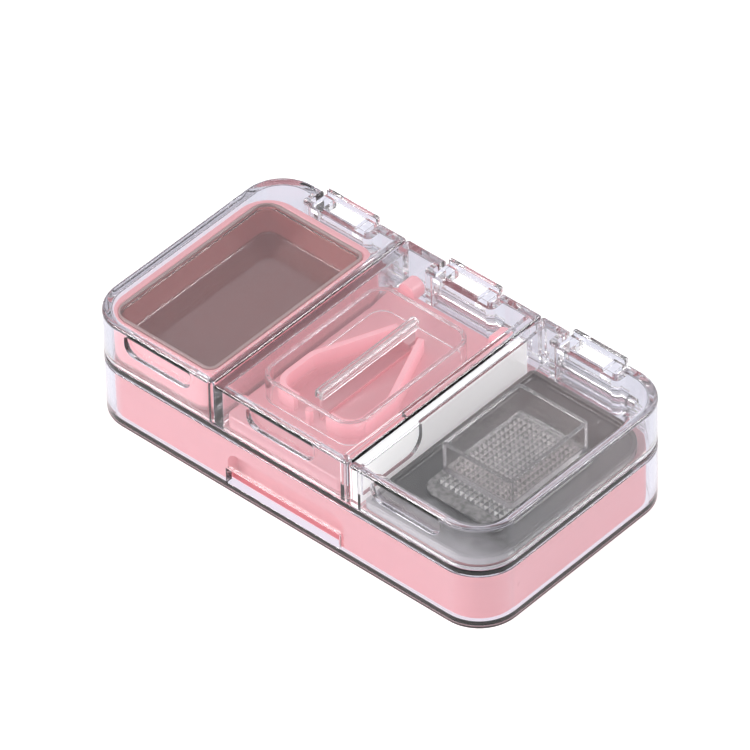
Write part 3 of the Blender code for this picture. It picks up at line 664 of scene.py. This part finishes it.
def make_pin(node):
    """Pin with rounded ends and a shallow groove near each."""
    low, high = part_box(node)
    centre_x = (low.x + high.x) / 2
    centre_z = (low.z + high.z) / 2
    half = (high.x - low.x) / 2
    groove = 0.00015
    profile = (
        (0.0, 0.45), (0.00012, 0.80), (0.0003, 1.0), (0.0012, 1.0),
        (0.0013, 1.0 - groove / PIN_RADIUS), (0.0016, 1.0 - groove / PIN_RADIUS), (0.0017, 1.0),
    )
    stations = [(depth - half, share) for depth, share in profile]
    stations += [(half - depth, share) for depth, share in reversed(profile)]
    rings = [
        [(centre_x + x, y, z) for y, z in circle(HINGE_Y, centre_z, PIN_RADIUS * share)]
        for x, share in stations
    ]
    place(loft(node + "_fine", rings), node, "steel", STEEL_X)


def add_barrel(target, centre_x, axis_z, up):
    """Barrel on a web, standing on the plate or hanging under it."""
    side = 1 if up else -1
    root = PLATE_HIGH - GAP if up else PLATE_LOW + GAP
    opening = atan2(WEB_HALF, BARREL_RADIUS)
    outline = [(HINGE_Y - WEB_HALF, root), (HINGE_Y + WEB_HALF, root)]
    for step in range(CIRCLE_STEPS + 1):
        angle = opening + (2 * pi - 2 * opening) * step / CIRCLE_STEPS - pi / 2
        outline.append((
            HINGE_Y + BARREL_RADIUS * cos(angle),
            axis_z + side * BARREL_RADIUS * sin(angle),
        ))
    join(target, prism(
        "barrel", outline, centre_x - BARREL_HALF, centre_x + BARREL_HALF, "X", soft=0.0002
    ))
    pin_hole(target, centre_x, axis_z)


def add_knuckles(target, centre_x, axis_z):
    """Two bored knuckles outside the pocket's ends."""
    for side in (-1, 1):
        near = centre_x + side * (POCKET_HALF - GAP / 2)
        far = centre_x + side * (POCKET_HALF + KNUCKLE_LENGTH)
        disc = circle(HINGE_Y, axis_z, KNUCKLE_RADIUS)
        join(target, prism("knuckle", disc, min(near, far), max(near, far), "X", soft=0.00015))
    pin_hole(target, centre_x, axis_z)


def add_pocket(target, centre_x, low, high, cut_low, cut_high):
    """Walled bay in the rear of a shell, open to the back."""
    outer = POCKET_HALF + POCKET_WALL
    square = LEAST_RADIUS
    wall = rectangle(
        centre_x - outer, centre_x + outer, POCKET_FRONT - POCKET_WALL, HINGE_Y,
        (POCKET_CORNER, POCKET_CORNER, square, square),
    )
    join(target, prism("pocket_walls", wall, low, high))
    bay = rectangle(
        centre_x - POCKET_HALF, centre_x + POCKET_HALF, POCKET_FRONT, HALF_DEPTH + CLEAR_OF,
        (POCKET_CORNER / 2, POCKET_CORNER / 2, square, square),
    )
    cut(target, prism("pocket_bay", bay, cut_low, cut_high))


# ---- clear shell -------------------------------------------------------------------------------
def set_wall_back(lid, plate_edge, faces):
    """Turn a lid's wall into a thin one set back from the plate's edge, and open a window in it."""
    outer, inner = faces
    side = 1 if inner > outer else -1
    reach = HALF_DEPTH - WALL / 2
    middle = (outer + inner) / 2
    beyond = plate_edge - side * WALL
    cut(lid, block(
        "bay", min(beyond, middle), max(beyond, middle),
        -SIDE_BAY_REACH, SIDE_BAY_REACH, LID_LOW - WALL, SIDE_BAY_TOP, 0.0,
    ))
    join(lid, block(
        "wall", min(outer, inner), max(outer, inner),
        -reach, reach, LID_LOW + GAP / 10, LID_CEILING + GAP,
    ))
    window = rounded((
        (WINDOW_FRONT, WINDOW_LOW, GAP), (WINDOW_REAR, WINDOW_LOW, WINDOW_CORNER),
        (WINDOW_REAR, WINDOW_HIGH, GAP), (WINDOW_FRONT, WINDOW_HIGH, GAP),
    ), steps=CORNER_STEPS)
    low = min(outer, inner) - GAP
    high = max(outer, inner) + GAP
    cut(lid, prism("window", window, low, high, "X"))
    soften(lid, EDGE, lambda co: (
        min(abs(co.x - outer), abs(co.x - inner)) < GAP / 3
        and WINDOW_FRONT - GAP / 3 < co.y < WINDOW_REAR + GAP / 3
        and WINDOW_LOW - GAP / 3 < co.z < WINDOW_HIGH + GAP / 3
    ))


def make_lid(node, radii, centre_x):
    """Deep lid with filleted edges, a hinge pocket and bridge, and a finger scoop."""
    low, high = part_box(node)
    profile = rounded((
        (WALL + CEILING_FILLET + SEAM, LID_CEILING, 0.0),
        (WALL, LID_CEILING, CEILING_FILLET),
        (WALL, LID_LOW, EDGE), (0.0, LID_LOW, EDGE), (0.0, BOX_TOP, TOP_FILLET),
        (TOP_FILLET + SEAM, BOX_TOP, 0.0),
    ), closed=False)
    outline = plan(low.x, high.x, -HALF_DEPTH, HALF_DEPTH, radii)
    lid = turned(node + "_fine", outline, profile)
    above = BOX_TOP + CLEAR_OF
    add_pocket(lid, centre_x, LID_LOW, LID_CEILING + GAP, LID_LOW - CLEAR_OF, above)
    soften(lid, RIM_RADIUS, lambda co: (
        co.z > BOX_TOP - GAP / 2 and abs(co.x - centre_x) < POCKET_HALF + GAP
        and POCKET_FRONT - GAP < co.y < HALF_DEPTH - TOP_FILLET
    ))
    strip = block(
        "bridge", centre_x - BRIDGE_HALF, centre_x + BRIDGE_HALF,
        BRIDGE_FRONT, BRIDGE_BACK, BRIDGE_LOW, BRIDGE_TOP,
    )
    for side in (-1, 1):
        outer = centre_x + side * BRIDGE_HALF
        inner = outer - side * EAR_WIDTH
        join(strip, block(
            "ear", min(outer, inner), max(outer, inner),
            POCKET_FRONT - GAP, BRIDGE_FRONT + GAP, EAR_LOW, BOX_TOP - GAP, EDGE / 2,
        ))
    join(lid, strip)
    add_knuckles(lid, centre_x, LID_AXIS_Z)
    scoop_x0 = centre_x - SCOOP_HALF
    scoop_x1 = centre_x + SCOOP_HALF
    scoop = rounded((
        (scoop_x0, SCOOP_HIGH, SCOOP_TOP_CORNER), (scoop_x0, SCOOP_LOW, SCOOP_LOW_CORNER),
        (scoop_x1, SCOOP_LOW, SCOOP_LOW_CORNER), (scoop_x1, SCOOP_HIGH, SCOOP_TOP_CORNER),
    ))
    front = -HALF_DEPTH
    cut(lid, prism("scoop", scoop, front - CLEAR_OF, front + SCOOP_DEPTH, "Y", soft=0.0004))
    soften(lid, RIM_RADIUS, lambda co: (
        abs(co.y - front) < GAP / 3 and abs(co.x - centre_x) < SCOOP_HALF + GAP
        and SCOOP_LOW - GAP < co.z < SCOOP_HIGH + GAP
    ))
    if node == "middle_lid":
        set_wall_back(lid, high.x, MIDDLE_SIDE_X)
    if node == "right_lid":
        set_wall_back(lid, low.x, RIGHT_SIDE_X)
    place(lid, node, "clear_plastic", CLEAR)


def make_mid_frame():
    """Middle plate with a hinge barrel above or below each pocket."""
    profile = rounded((
        (EDGE + GAP, PLATE_LOW, 0.0), (0.0, PLATE_LOW, EDGE), (0.0, PLATE_HIGH, EDGE),
        (EDGE + GAP, PLATE_HIGH, 0.0),
    ), closed=False)
    plate = turned("mid_frame_fine", box_plan(), profile)
    for x in (-POCKET_X, 0.0, POCKET_X):
        add_barrel(plate, x, LID_AXIS_Z, True)
    for x in (-POCKET_X, POCKET_X):
        add_barrel(plate, x, COVER_AXIS_Z, False)
    place(plate, "mid_frame", "frame_plastic", FRAME_CLEAR)


def make_bottom_cover():
    """Clear tub round the lower tray, with two hinge pockets and a finger notch."""
    foot = 0.0007
    profile = rounded((
        (foot + SEAM, 0.0, 0.0), (0.0, 0.0, foot), (0.0, COVER_TOP, EDGE),
        (WALL, COVER_TOP, EDGE), (WALL, BASE_THICKNESS, EDGE),
        (WALL + foot, BASE_THICKNESS, 0.0),
    ), closed=False)
    cover = turned("bottom_cover_fine", box_plan(), profile)
    for x in (-POCKET_X, POCKET_X):
        add_pocket(
            cover, x, COVER_POCKET_LOW - POCKET_WALL, COVER_TOP,
            COVER_POCKET_LOW, COVER_TOP + CLEAR_OF,
        )
        add_knuckles(cover, x, COVER_AXIS_Z)
    front = -HALF_DEPTH
    cut(cover, block(
        "notch", -NOTCH_HALF, NOTCH_HALF, front - CLEAR_OF, front + WALL + GAP,
        NOTCH_LOW, NOTCH_HIGH, 0.0,
    ))
    soften(cover, EDGE, lambda co: (
        abs(co.x) < NOTCH_HALF + GAP and co.y < front + WALL + GAP
        and NOTCH_LOW - GAP < co.z < NOTCH_HIGH + GAP
    ))
    place(cover, "bottom_cover", "clear_plastic", COVER_CLEAR)


# ---- pill compartment --------------------------------------------------------------------------
def cup_outline(inset):
    """Plan of the cup and what is in it; its corners grow tighter faster than its sides move in."""
    low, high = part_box("pill_cup")
    tighter = CUP_TIGHTER * inset
    radii = (
        INSERT_CORNER - tighter, CUP_SMALL_CORNER, CUP_SMALL_CORNER, INSERT_CORNER - tighter
    )
    return rectangle(low.x, high.x, low.y, high.y, radii, inset)


def make_pill_cup():
    beyond = 0.0001
    foot = 0.0005
    lip = 0.0004
    profile = rounded((
        (foot + beyond, INSERT_LOW, 0.0), (0.0, INSERT_LOW, foot), (0.0, CUP_TOP, lip),
        (CUP_RIM, CUP_TOP, lip), (CUP_RIM, CUP_SHELF, 0.0001), (CUP_WALL, CUP_SHELF, 0.0001),
        (CUP_WALL, CUP_FLOOR, foot), (CUP_WALL + foot + beyond, CUP_FLOOR, 0.0),
    ), closed=False)
    place(turned("pill_cup_fine", cup_outline, profile), "pill_cup", "pink_plastic", CUP_PINK)


def make_cup_liner():
    """Clear tray with a flange and a floor that curves up into its walls."""
    flange_low = CUP_SHELF + 0.0002
    curve = 0.0010
    profile = rounded((
        (LINER_OUTSIDE + curve + 0.0001, LINER_LOW, 0.0), (LINER_OUTSIDE, LINER_LOW, curve),
        (LINER_OUTSIDE, flange_low, 0.00005), (LINER_FLANGE, flange_low, 0.0001),
        (LINER_FLANGE, LINER_TOP, 0.0002), (LINER_INSIDE, LINER_TOP, 0.0003),
        (LINER_INSIDE, LINER_FLOOR, curve * 0.8), (LINER_INSIDE + curve, LINER_FLOOR, 0.0),
    ), closed=False)
    liner = turned("cup_liner_fine", cup_outline, profile)
    place(liner, "cup_liner", "clear_plastic", LINER_CLEAR)


def make_cup_seal():
    bead = 0.0002
    profile = rounded((
        (LINER_FLANGE, SEAL_LOW, bead), (LINER_FLANGE, SEAL_TOP, bead),
        (SEAL_INSIDE, SEAL_TOP, bead), (SEAL_INSIDE, SEAL_LOW, bead),
    ))
    seal = turned("cup_seal_fine", cup_outline, profile, closed=True)
    place(seal, "cup_seal", "silicone", SILICONE)


# ---- cutter ------------------------------------------------------------------------------------
def make_cutter_base():
    """Block with a V of two ribs, a well between them, a slot for the blade and two rear ears."""
    low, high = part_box("cutter_base")
    top_edge = 0.0006
    profile = rounded((
        (EDGE + GAP, INSERT_LOW, 0.0), (0.0, INSERT_LOW, EDGE), (0.0, CUTTER_TOP, top_edge),
        (top_edge + GAP, CUTTER_TOP, 0.0),
    ), closed=False)
    outline = plan(low.x, high.x, low.y, REAR, (CUTTER_CORNER,) * 4)
    base = turned("cutter_base_fine", outline, profile)
    root = CUTTER_TOP - 2 * GAP
    for side in (1, -1):
        path = rounded([
            (CUTTER_X + side * x, y, radius) for (x, y), radius in (
                (RIB_REAR, 0.0), (RIB_KNEE, RIB_KNEE_RADIUS),
                (RIB_FRONT, RIB_FRONT_RADIUS), (RIB_END, 0.0),
            )
        ], closed=False)
        join(base, prism("rib", ribbon(path, RIB_THICKNESS / 2), root, RIB_TOP))
        ear = rounded([
            (side * x, z, radius) for x, z, radius in (
                (EAR_NEAR, root, 0.0), (EAR_FAR, root, 0.0),
                (EAR_FAR, EAR_TOP, EAR_CORNER), (EAR_NEAR, EAR_TOP, EAR_CORNER),
            )
        ])
        join(base, prism("ear", ear, REAR - 0.0012, REAR + 0.0028, "Y", soft=0.00025))
    post = rectangle(
        CUTTER_X - POST_HALF, CUTTER_X + POST_HALF, POST_FRONT, POST_REAR, (0.0005,) * 4
    )
    join(base, prism("post", post, root, RIB_TOP - 0.0006, soft=0.0002))
    right_half = (
        (*WELL_FRONT, WELL_FRONT_RADIUS), (*WELL_KNEE, WELL_KNEE_RADIUS), (*WELL_REAR, 0.0)
    )
    left_half = [(-x, y, radius) for x, y, radius in reversed(right_half)]
    well = [(CUTTER_X + x, y) for x, y in rounded((*left_half, *right_half))]
    cut(base, prism("well", well, WELL_FLOOR, CUTTER_TOP + GAP / 2))
    cut(base, block(
        "slot", CUTTER_X - SLOT_HALF, CUTTER_X + SLOT_HALF,
        SLOT_FRONT, SLOT_REAR, SLOT_FLOOR, RIB_TOP + GAP, 0.0,
    ))
    soften(base, 0.00015, lambda co: co.z > RIB_TOP - GAP / 3)
    place(base, "cutter_base", "pink_plastic", CUTTER_PINK)


def make_blade_guard():
    """Clear skirt with rounded lips top and bottom."""
    low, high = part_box("blade_guard")
    lip = 0.0004
    profile = rounded((
        (0.0, low.z, lip), (0.0, high.z, lip), (GUARD_WALL, high.z, lip),
        (GUARD_WALL, low.z, lip),
    ))
    outline = plan_of("blade_guard", (GUARD_CORNER,) * 4)
    guard = turned("blade_guard_fine", outline, profile, closed=True)
    place(guard, "blade_guard", "clear_plastic", CLEAR)


def make_blade_holder():
    """Clear rod with a rounded back, slit underneath for the blade."""
    low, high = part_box("blade_holder")
    slit = BLADE_HALF + 0.0002
    profile = rounded((
        (-HOLDER_HALF, HOLDER_LOW, 0.0003), (-slit, HOLDER_LOW, 0.0001),
        (-slit, BLADE_TOP + GAP, 0.0001), (slit, BLADE_TOP + GAP, 0.0001),
        (slit, HOLDER_LOW, 0.0001), (HOLDER_HALF, HOLDER_LOW, 0.0003),
        (HOLDER_HALF, HANGING_TOP, 0.0009), (-HOLDER_HALF, HANGING_TOP, 0.0009),
    ))
    middle_z = (HOLDER_LOW + HANGING_TOP) / 2
    rings = []
    for y, share in (
        (low.y, 0.70), (low.y + 0.0002, 0.88), (low.y + 0.0006, 1.0),
        (high.y - 0.0006, 1.0), (high.y - 0.0002, 0.88), (high.y, 0.70),
    ):
        rings.append([
            (CUTTER_X + x * share, y, middle_z + (z - middle_z) * share) for x, z in profile
        ])
    holder = loft("blade_holder_fine", rings)
    place(holder, "blade_holder", "clear_plastic", ROD_CLEAR)


def make_blade():
    """Blade with a ground bevel on both sides of its edge."""
    low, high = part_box("cutter_blade")
    hone = BLADE_EDGE + 0.0004
    profile = (
        (0.0, BLADE_EDGE), (BLADE_HALF * 0.45, hone), (BLADE_HALF, BLADE_SHOULDER),
        (BLADE_HALF, BLADE_TOP), (-BLADE_HALF, BLADE_TOP), (-BLADE_HALF, BLADE_SHOULDER),
        (-BLADE_HALF * 0.45, hone),
    )
    profile = [(CUTTER_X + x, z) for x, z in profile]
    blade = prism("cutter_blade_fine", profile, low.y, high.y, "Y")
    place(blade, "cutter_blade", "steel", STEEL_Y)


# ---- grinder -----------------------------------------------------------------------------------
def make_grinder_base():
    """Shallow tray with a rounded rim."""
    small = 0.0015
    outline = plan_of("grinder_base", (small, INSERT_CORNER, INSERT_CORNER, small))
    rim = 0.0003
    profile = rounded((
        (rim + GAP, INSERT_LOW, 0.0), (0.0, INSERT_LOW, rim), (0.0, GRINDER_RIM, rim),
        (GRINDER_WALL, GRINDER_RIM, rim), (GRINDER_WALL, GRINDER_FLOOR, 0.0006),
        (GRINDER_WALL + 0.001, GRINDER_FLOOR, 0.0),
    ), closed=False)
    tray = turned("grinder_base_fine", outline, profile)
    place(tray, "grinder_base", "grey_plastic", GREY)


def make_partition():
    """Upright white plate with rounded edges."""
    low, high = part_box("partition")
    plate = block("partition_fine", low.x, high.x, low.y, high.y, low.z, high.z)
    place(plate, "partition", "white_plastic", WHITE)


def knurled_slab(name, x0, x1, y0, y1, z_flat, z_knurl, height):
    """Slab with one flat face and one face of pyramids."""
    columns = round((x1 - x0) / KNURL_PITCH)
    rows = round((y1 - y0) / KNURL_PITCH)
    build = bmesh.new()
    grid = [
        [
            build.verts.new((
                x0 + (x1 - x0) * column / columns, y0 + (y1 - y0) * row / rows, z_knurl
            ))
            for column in range(columns + 1)
        ]
        for row in range(rows + 1)
    ]
    for row in range(rows):
        for column in range(columns):
            corners = (
                grid[row][column], grid[row][column + 1],
                grid[row + 1][column + 1], grid[row + 1][column],
            )
            middle = sum((corner.co for corner in corners), Vector()) / 4
            peak = build.verts.new(middle + Vector((0.0, 0.0, height)))
            for number in range(4):
                build.faces.new((corners[number], corners[(number + 1) % 4], peak))
    edge = grid[0][:-1] + [grid[row][-1] for row in range(rows)]
    edge += grid[-1][:0:-1] + [grid[row][0] for row in range(rows, 0, -1)]
    flat = [build.verts.new((vert.co.x, vert.co.y, z_flat)) for vert in edge]
    build.faces.new(flat)
    for number, vert in enumerate(edge):
        following = (number + 1) % len(edge)
        build.faces.new((vert, edge[following], flat[following], flat[number]))
    return add_object(name, build)


def make_grinder_pad():
    """Raised pad whose middle is a field of fine pyramids."""
    low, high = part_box("grinder_pad")
    lip = 0.0002
    profile = rounded((
        (lip + GAP, PAD_LOW, 0.0), (0.0, PAD_LOW, lip), (0.0, PAD_TOP, lip),
        (lip + GAP, PAD_TOP, 0.0),
    ), closed=False)
    pad = turned("grinder_pad_fine", plan_of("grinder_pad", (PAD_CORNER,) * 4), profile)
    field = knurled_slab(
        "pad_knurl", low.x + 0.0018, high.x - 0.0018, low.y + 0.0038, high.y - 0.0038,
        PAD_TOP - GAP, PAD_TOP + GAP / 3, 0.0006,
    )
    join(pad, field)
    place(pad, "grinder_pad", "frame_plastic", KNURL_CLEAR)


def make_press_block():
    """Hollow clear block under the lid, with fine pyramids on its lower face."""
    low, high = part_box("press_block")
    lip = 0.0003
    profile = rounded((
        (lip + GAP, PRESS_LOW, 0.0), (0.0, PRESS_LOW, lip), (0.0, HANGING_TOP, lip),
        (PRESS_WALL, HANGING_TOP, lip), (PRESS_WALL, PRESS_LOW + PRESS_WALL, lip),
        (PRESS_WALL + lip + GAP, PRESS_LOW + PRESS_WALL, 0.0),
    ), closed=False)
    press = turned("press_block_fine", plan_of("press_block", (PRESS_WALL,) * 4), profile)
    field = knurled_slab(
        "press_knurl", low.x + 0.0013, high.x - 0.0013, low.y + 0.0015, high.y - 0.0015,
        PRESS_LOW + 2 * GAP, PRESS_LOW - GAP / 3, 0.0005,
    )
    join(press, field)
    place(press, "press_block", "clear_plastic", PRESS_CLEAR)


# ---- lower storey ------------------------------------------------------------------------------
def make_lower_tray():
    """Tray of six cells that open downwards, with a step round its foot."""
    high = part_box("lower_tray")[1]
    side = WALL + GAP
    edge = 0.0006
    step = 0.00015
    step_z = TRAY_LOW + 0.0014
    profile = rounded((
        (edge + step + GAP, TRAY_LOW, 0.0), (step, TRAY_LOW, edge), (step, step_z, 0.00005),
        (0.0, step_z + step, 0.00005), (0.0, TRAY_TOP, edge), (edge + GAP, TRAY_TOP, 0.0),
    ), closed=False)
    tray = turned("lower_tray_fine", plan_of("lower_tray", (CORNER - side,) * 4), profile)
    half_wall = TRAY_WALL / 2
    outer_x = HALF_LENGTH - side - TRAY_WALL
    front_y = side + TRAY_WALL - HALF_DEPTH
    rear_y = high.y - TRAY_WALL
    hinge_y = REAR - TRAY_WALL
    small = CELL_CORNER
    large = CORNER - side - TRAY_WALL
    columns = (
        (-outer_x, -DIVIDE - half_wall, front_y, hinge_y, large, small),
        (half_wall - DIVIDE, DIVIDE - half_wall, RECESS_BLOCK, rear_y, small, small),
        (DIVIDE + half_wall, outer_x, front_y, hinge_y, small, large),
    )
    for x0, x1, y0, y1, left, right in columns:
        half_way = (y0 + y1) / 2
        cells = (
            (y0, half_way - half_wall, (left, right, small, small)),
            (half_way + half_wall, y1, (small,) * 4),
        )
        for cell_y0, cell_y1, radii in cells:
            cell = rectangle(x0, x1, cell_y0, cell_y1, radii)
            cut(tray, prism("cell", cell, TRAY_LOW - CLEAR_OF, TRAY_TOP - TRAY_ROOF))
    recess = rounded((
        (-RECESS_HALF, RECESS_LOW, EDGE), (RECESS_HALF, RECESS_LOW, EDGE),
        (RECESS_HALF, RECESS_HIGH, RECESS_CORNER), (-RECESS_HALF, RECESS_HIGH, RECESS_CORNER),
    ))
    cut(tray, prism("recess", recess, -HALF_DEPTH, RECESS_BACK, "Y", soft=0.0002))
    reach = POCKET_HALF + KNUCKLE_LENGTH + 2 * GAP
    for x in (-POCKET_X, POCKET_X):
        cut(tray, block(
            "hinge_recess", x - reach, x + reach, REAR, HALF_DEPTH,
            TRAY_LOW - CLEAR_OF, TRAY_TOP + CLEAR_OF, 0.0,
        ))
    place(tray, "lower_tray", "pink_plastic", PINK)


def make_pieces():
    make_mid_frame()
    make_bottom_cover()
    make_lower_tray()
    inner = LID_INNER_CORNER
    make_lid("left_lid", (CORNER, inner, inner, CORNER), -POCKET_X)
    make_lid("middle_lid", (inner,) * 4, 0.0)
    make_lid("right_lid", (inner, CORNER, CORNER, inner), POCKET_X)
    make_pill_cup()
    make_cup_liner()
    make_cup_seal()
    make_cutter_base()
    make_blade_guard()
    make_blade_holder()
    make_blade()
    make_partition()
    make_grinder_base()
    make_grinder_pad()
    make_press_block()
    for node in (
        "left_lid_pin", "middle_lid_pin", "right_lid_pin", "left_cover_pin", "right_cover_pin"
    ):
        make_pin(node)


# ---- studio ------------------------------------------------------------------------------------
FLOOR_HALF = 3.0
FLOOR_GLOW = 0.64
SKY = 0.62
HORIZON = ((0.0, 0.03), (0.22, 0.06), (0.42, 0.45), (0.60, 0.95), (0.85, 1.15))
FRONT_LEFT = (-0.51, -0.66, 0.55)
REAR_RIGHT = (0.67, 0.55, 0.51)
CAMERA_AZIMUTH = 42.7
CAMERA_ELEVATION = 41.7
CAMERA_ROLL = -1.4
CAMERA_DISTANCE = 2.126
CAMERA_LENS = 437.0
AIM_RIGHT = -0.0013
AIM_UP = 0.0172


def make_floor():
    build = bmesh.new()
    bmesh.ops.create_grid(build, x_segments=1, y_segments=1, size=FLOOR_HALF)
    floor = add_object("floor", build)
    floor.location.z = -0.0001
    n = Nodes("floor")
    n.shade(
        Base_Color=n.blend(n.noise(4.0), (0.93, 0.93, 0.93, 1.0), (0.95, 0.95, 0.95, 1.0)),
        Roughness=0.7, Specular_IOR_Level=0.2,
        Emission_Color=(1.0, 1.0, 1.0, 1.0), Emission_Strength=FLOOR_GLOW,
    )
    behind_plastic = n.add("Emission", Color=(0.88, 0.88, 1.0, 1.0))
    n.show_instead(n.add("LightPath").outputs["Is Transmission Ray"], behind_plastic)
    floor.data.materials.append(n.material)


def make_world():
    """White studio whose reflections have a darker horizon, so that clear edges stand out."""
    world = bpy.data.worlds.new("studio")
    bpy.context.scene.world = world
    world.use_nodes = True
    tree = world.node_tree
    tree.nodes.clear()
    output = tree.nodes.new("ShaderNodeOutputWorld")
    paths = tree.nodes.new("ShaderNodeLightPath")
    direction = tree.nodes.new("ShaderNodeTexCoord")
    parts = tree.nodes.new("ShaderNodeSeparateXYZ")
    tree.links.new(direction.outputs["Generated"], parts.inputs[0])
    ramp = tree.nodes.new("ShaderNodeValToRGB")
    tree.links.new(parts.outputs["Z"], ramp.inputs["Fac"])
    elements = ramp.color_ramp.elements
    while len(elements) < len(HORIZON):
        elements.new(0.5)
    for element, (position, level) in zip(elements, HORIZON):
        element.position = position
        element.color = (level * 0.955, level * 0.96, level, 1.0)
    even = tree.nodes.new("ShaderNodeBackground")
    even.inputs["Strength"].default_value = SKY
    banded = tree.nodes.new("ShaderNodeBackground")
    tree.links.new(ramp.outputs["Color"], banded.inputs["Color"])
    either = tree.nodes.new("ShaderNodeMath")
    either.operation = "MAXIMUM"
    tree.links.new(paths.outputs["Is Glossy Ray"], either.inputs[0])
    tree.links.new(paths.outputs["Is Transmission Ray"], either.inputs[1])
    mix = tree.nodes.new("ShaderNodeMixShader")
    tree.links.new(either.outputs[0], mix.inputs[0])
    tree.links.new(even.outputs[0], mix.inputs[1])
    tree.links.new(banded.outputs[0], mix.inputs[2])
    tree.links.new(mix.outputs[0], output.inputs["Surface"])


def soft_box(name, direction, distance, width, height, power, for_gloss_only=False):
    """Area lamp that faces the object; a lamp for gloss only leaves dull surfaces as they are."""
    lamp = bpy.data.lights.new(name, "AREA")
    lamp.shape = "RECTANGLE"
    lamp.size = width
    lamp.size_y = height
    lamp.energy = power
    obj = bpy.data.objects.new(name, lamp)
    bpy.context.scene.collection.objects.link(obj)
    away = Vector(direction).normalized()
    obj.location = away * distance
    obj.rotation_euler = away.to_track_quat("Z", "Y").to_euler()
    obj.visible_diffuse = not for_gloss_only


def make_camera():
    """Long lens at the viewing angle of the pictured object."""
    azimuth = radians(CAMERA_AZIMUTH)
    elevation = radians(CAMERA_ELEVATION)
    roll = radians(CAMERA_ROLL)
    back = Vector((
        sin(azimuth) * cos(elevation), -cos(azimuth) * cos(elevation), sin(elevation)
    ))
    level = Vector((cos(azimuth), sin(azimuth), 0.0))
    upright = back.cross(level)
    right = cos(roll) * level + sin(roll) * upright
    up = cos(roll) * upright - sin(roll) * level
    aim = AIM_RIGHT * right + AIM_UP * up
    data = bpy.data.cameras.new("camera")
    data.lens = CAMERA_LENS
    data.sensor_width = 36.0
    data.clip_start = 0.05
    data.clip_end = 20.0
    camera = bpy.data.objects.new("camera", data)
    bpy.context.scene.collection.objects.link(camera)
    turn = Matrix((right, up, back)).transposed().to_4x4()
    camera.matrix_world = Matrix.Translation(aim + back * CAMERA_DISTANCE) @ turn
    bpy.context.scene.camera = camera


make_pieces()
make_floor()
make_world()
soft_box("front_left_box", FRONT_LEFT, 0.9, 0.5, 0.5, 2.5)
soft_box("rear_right_box", REAR_RIGHT, 0.9, 0.4, 0.5, 0.9)
soft_box("front_left_strip", FRONT_LEFT, 0.85, 0.30, 0.12, 3.0, for_gloss_only=True)
soft_box("rear_right_strip", REAR_RIGHT, 0.85, 0.12, 0.30, 1.4, for_gloss_only=True)
make_camera()
scene = bpy.context.scene
scene.view_settings.view_transform = "Standard"
scene.cycles.max_bounces = 32
scene.cycles.glossy_bounces = 16
scene.cycles.transmission_bounces = 24
scene.cycles.transparent_max_bounces = 16
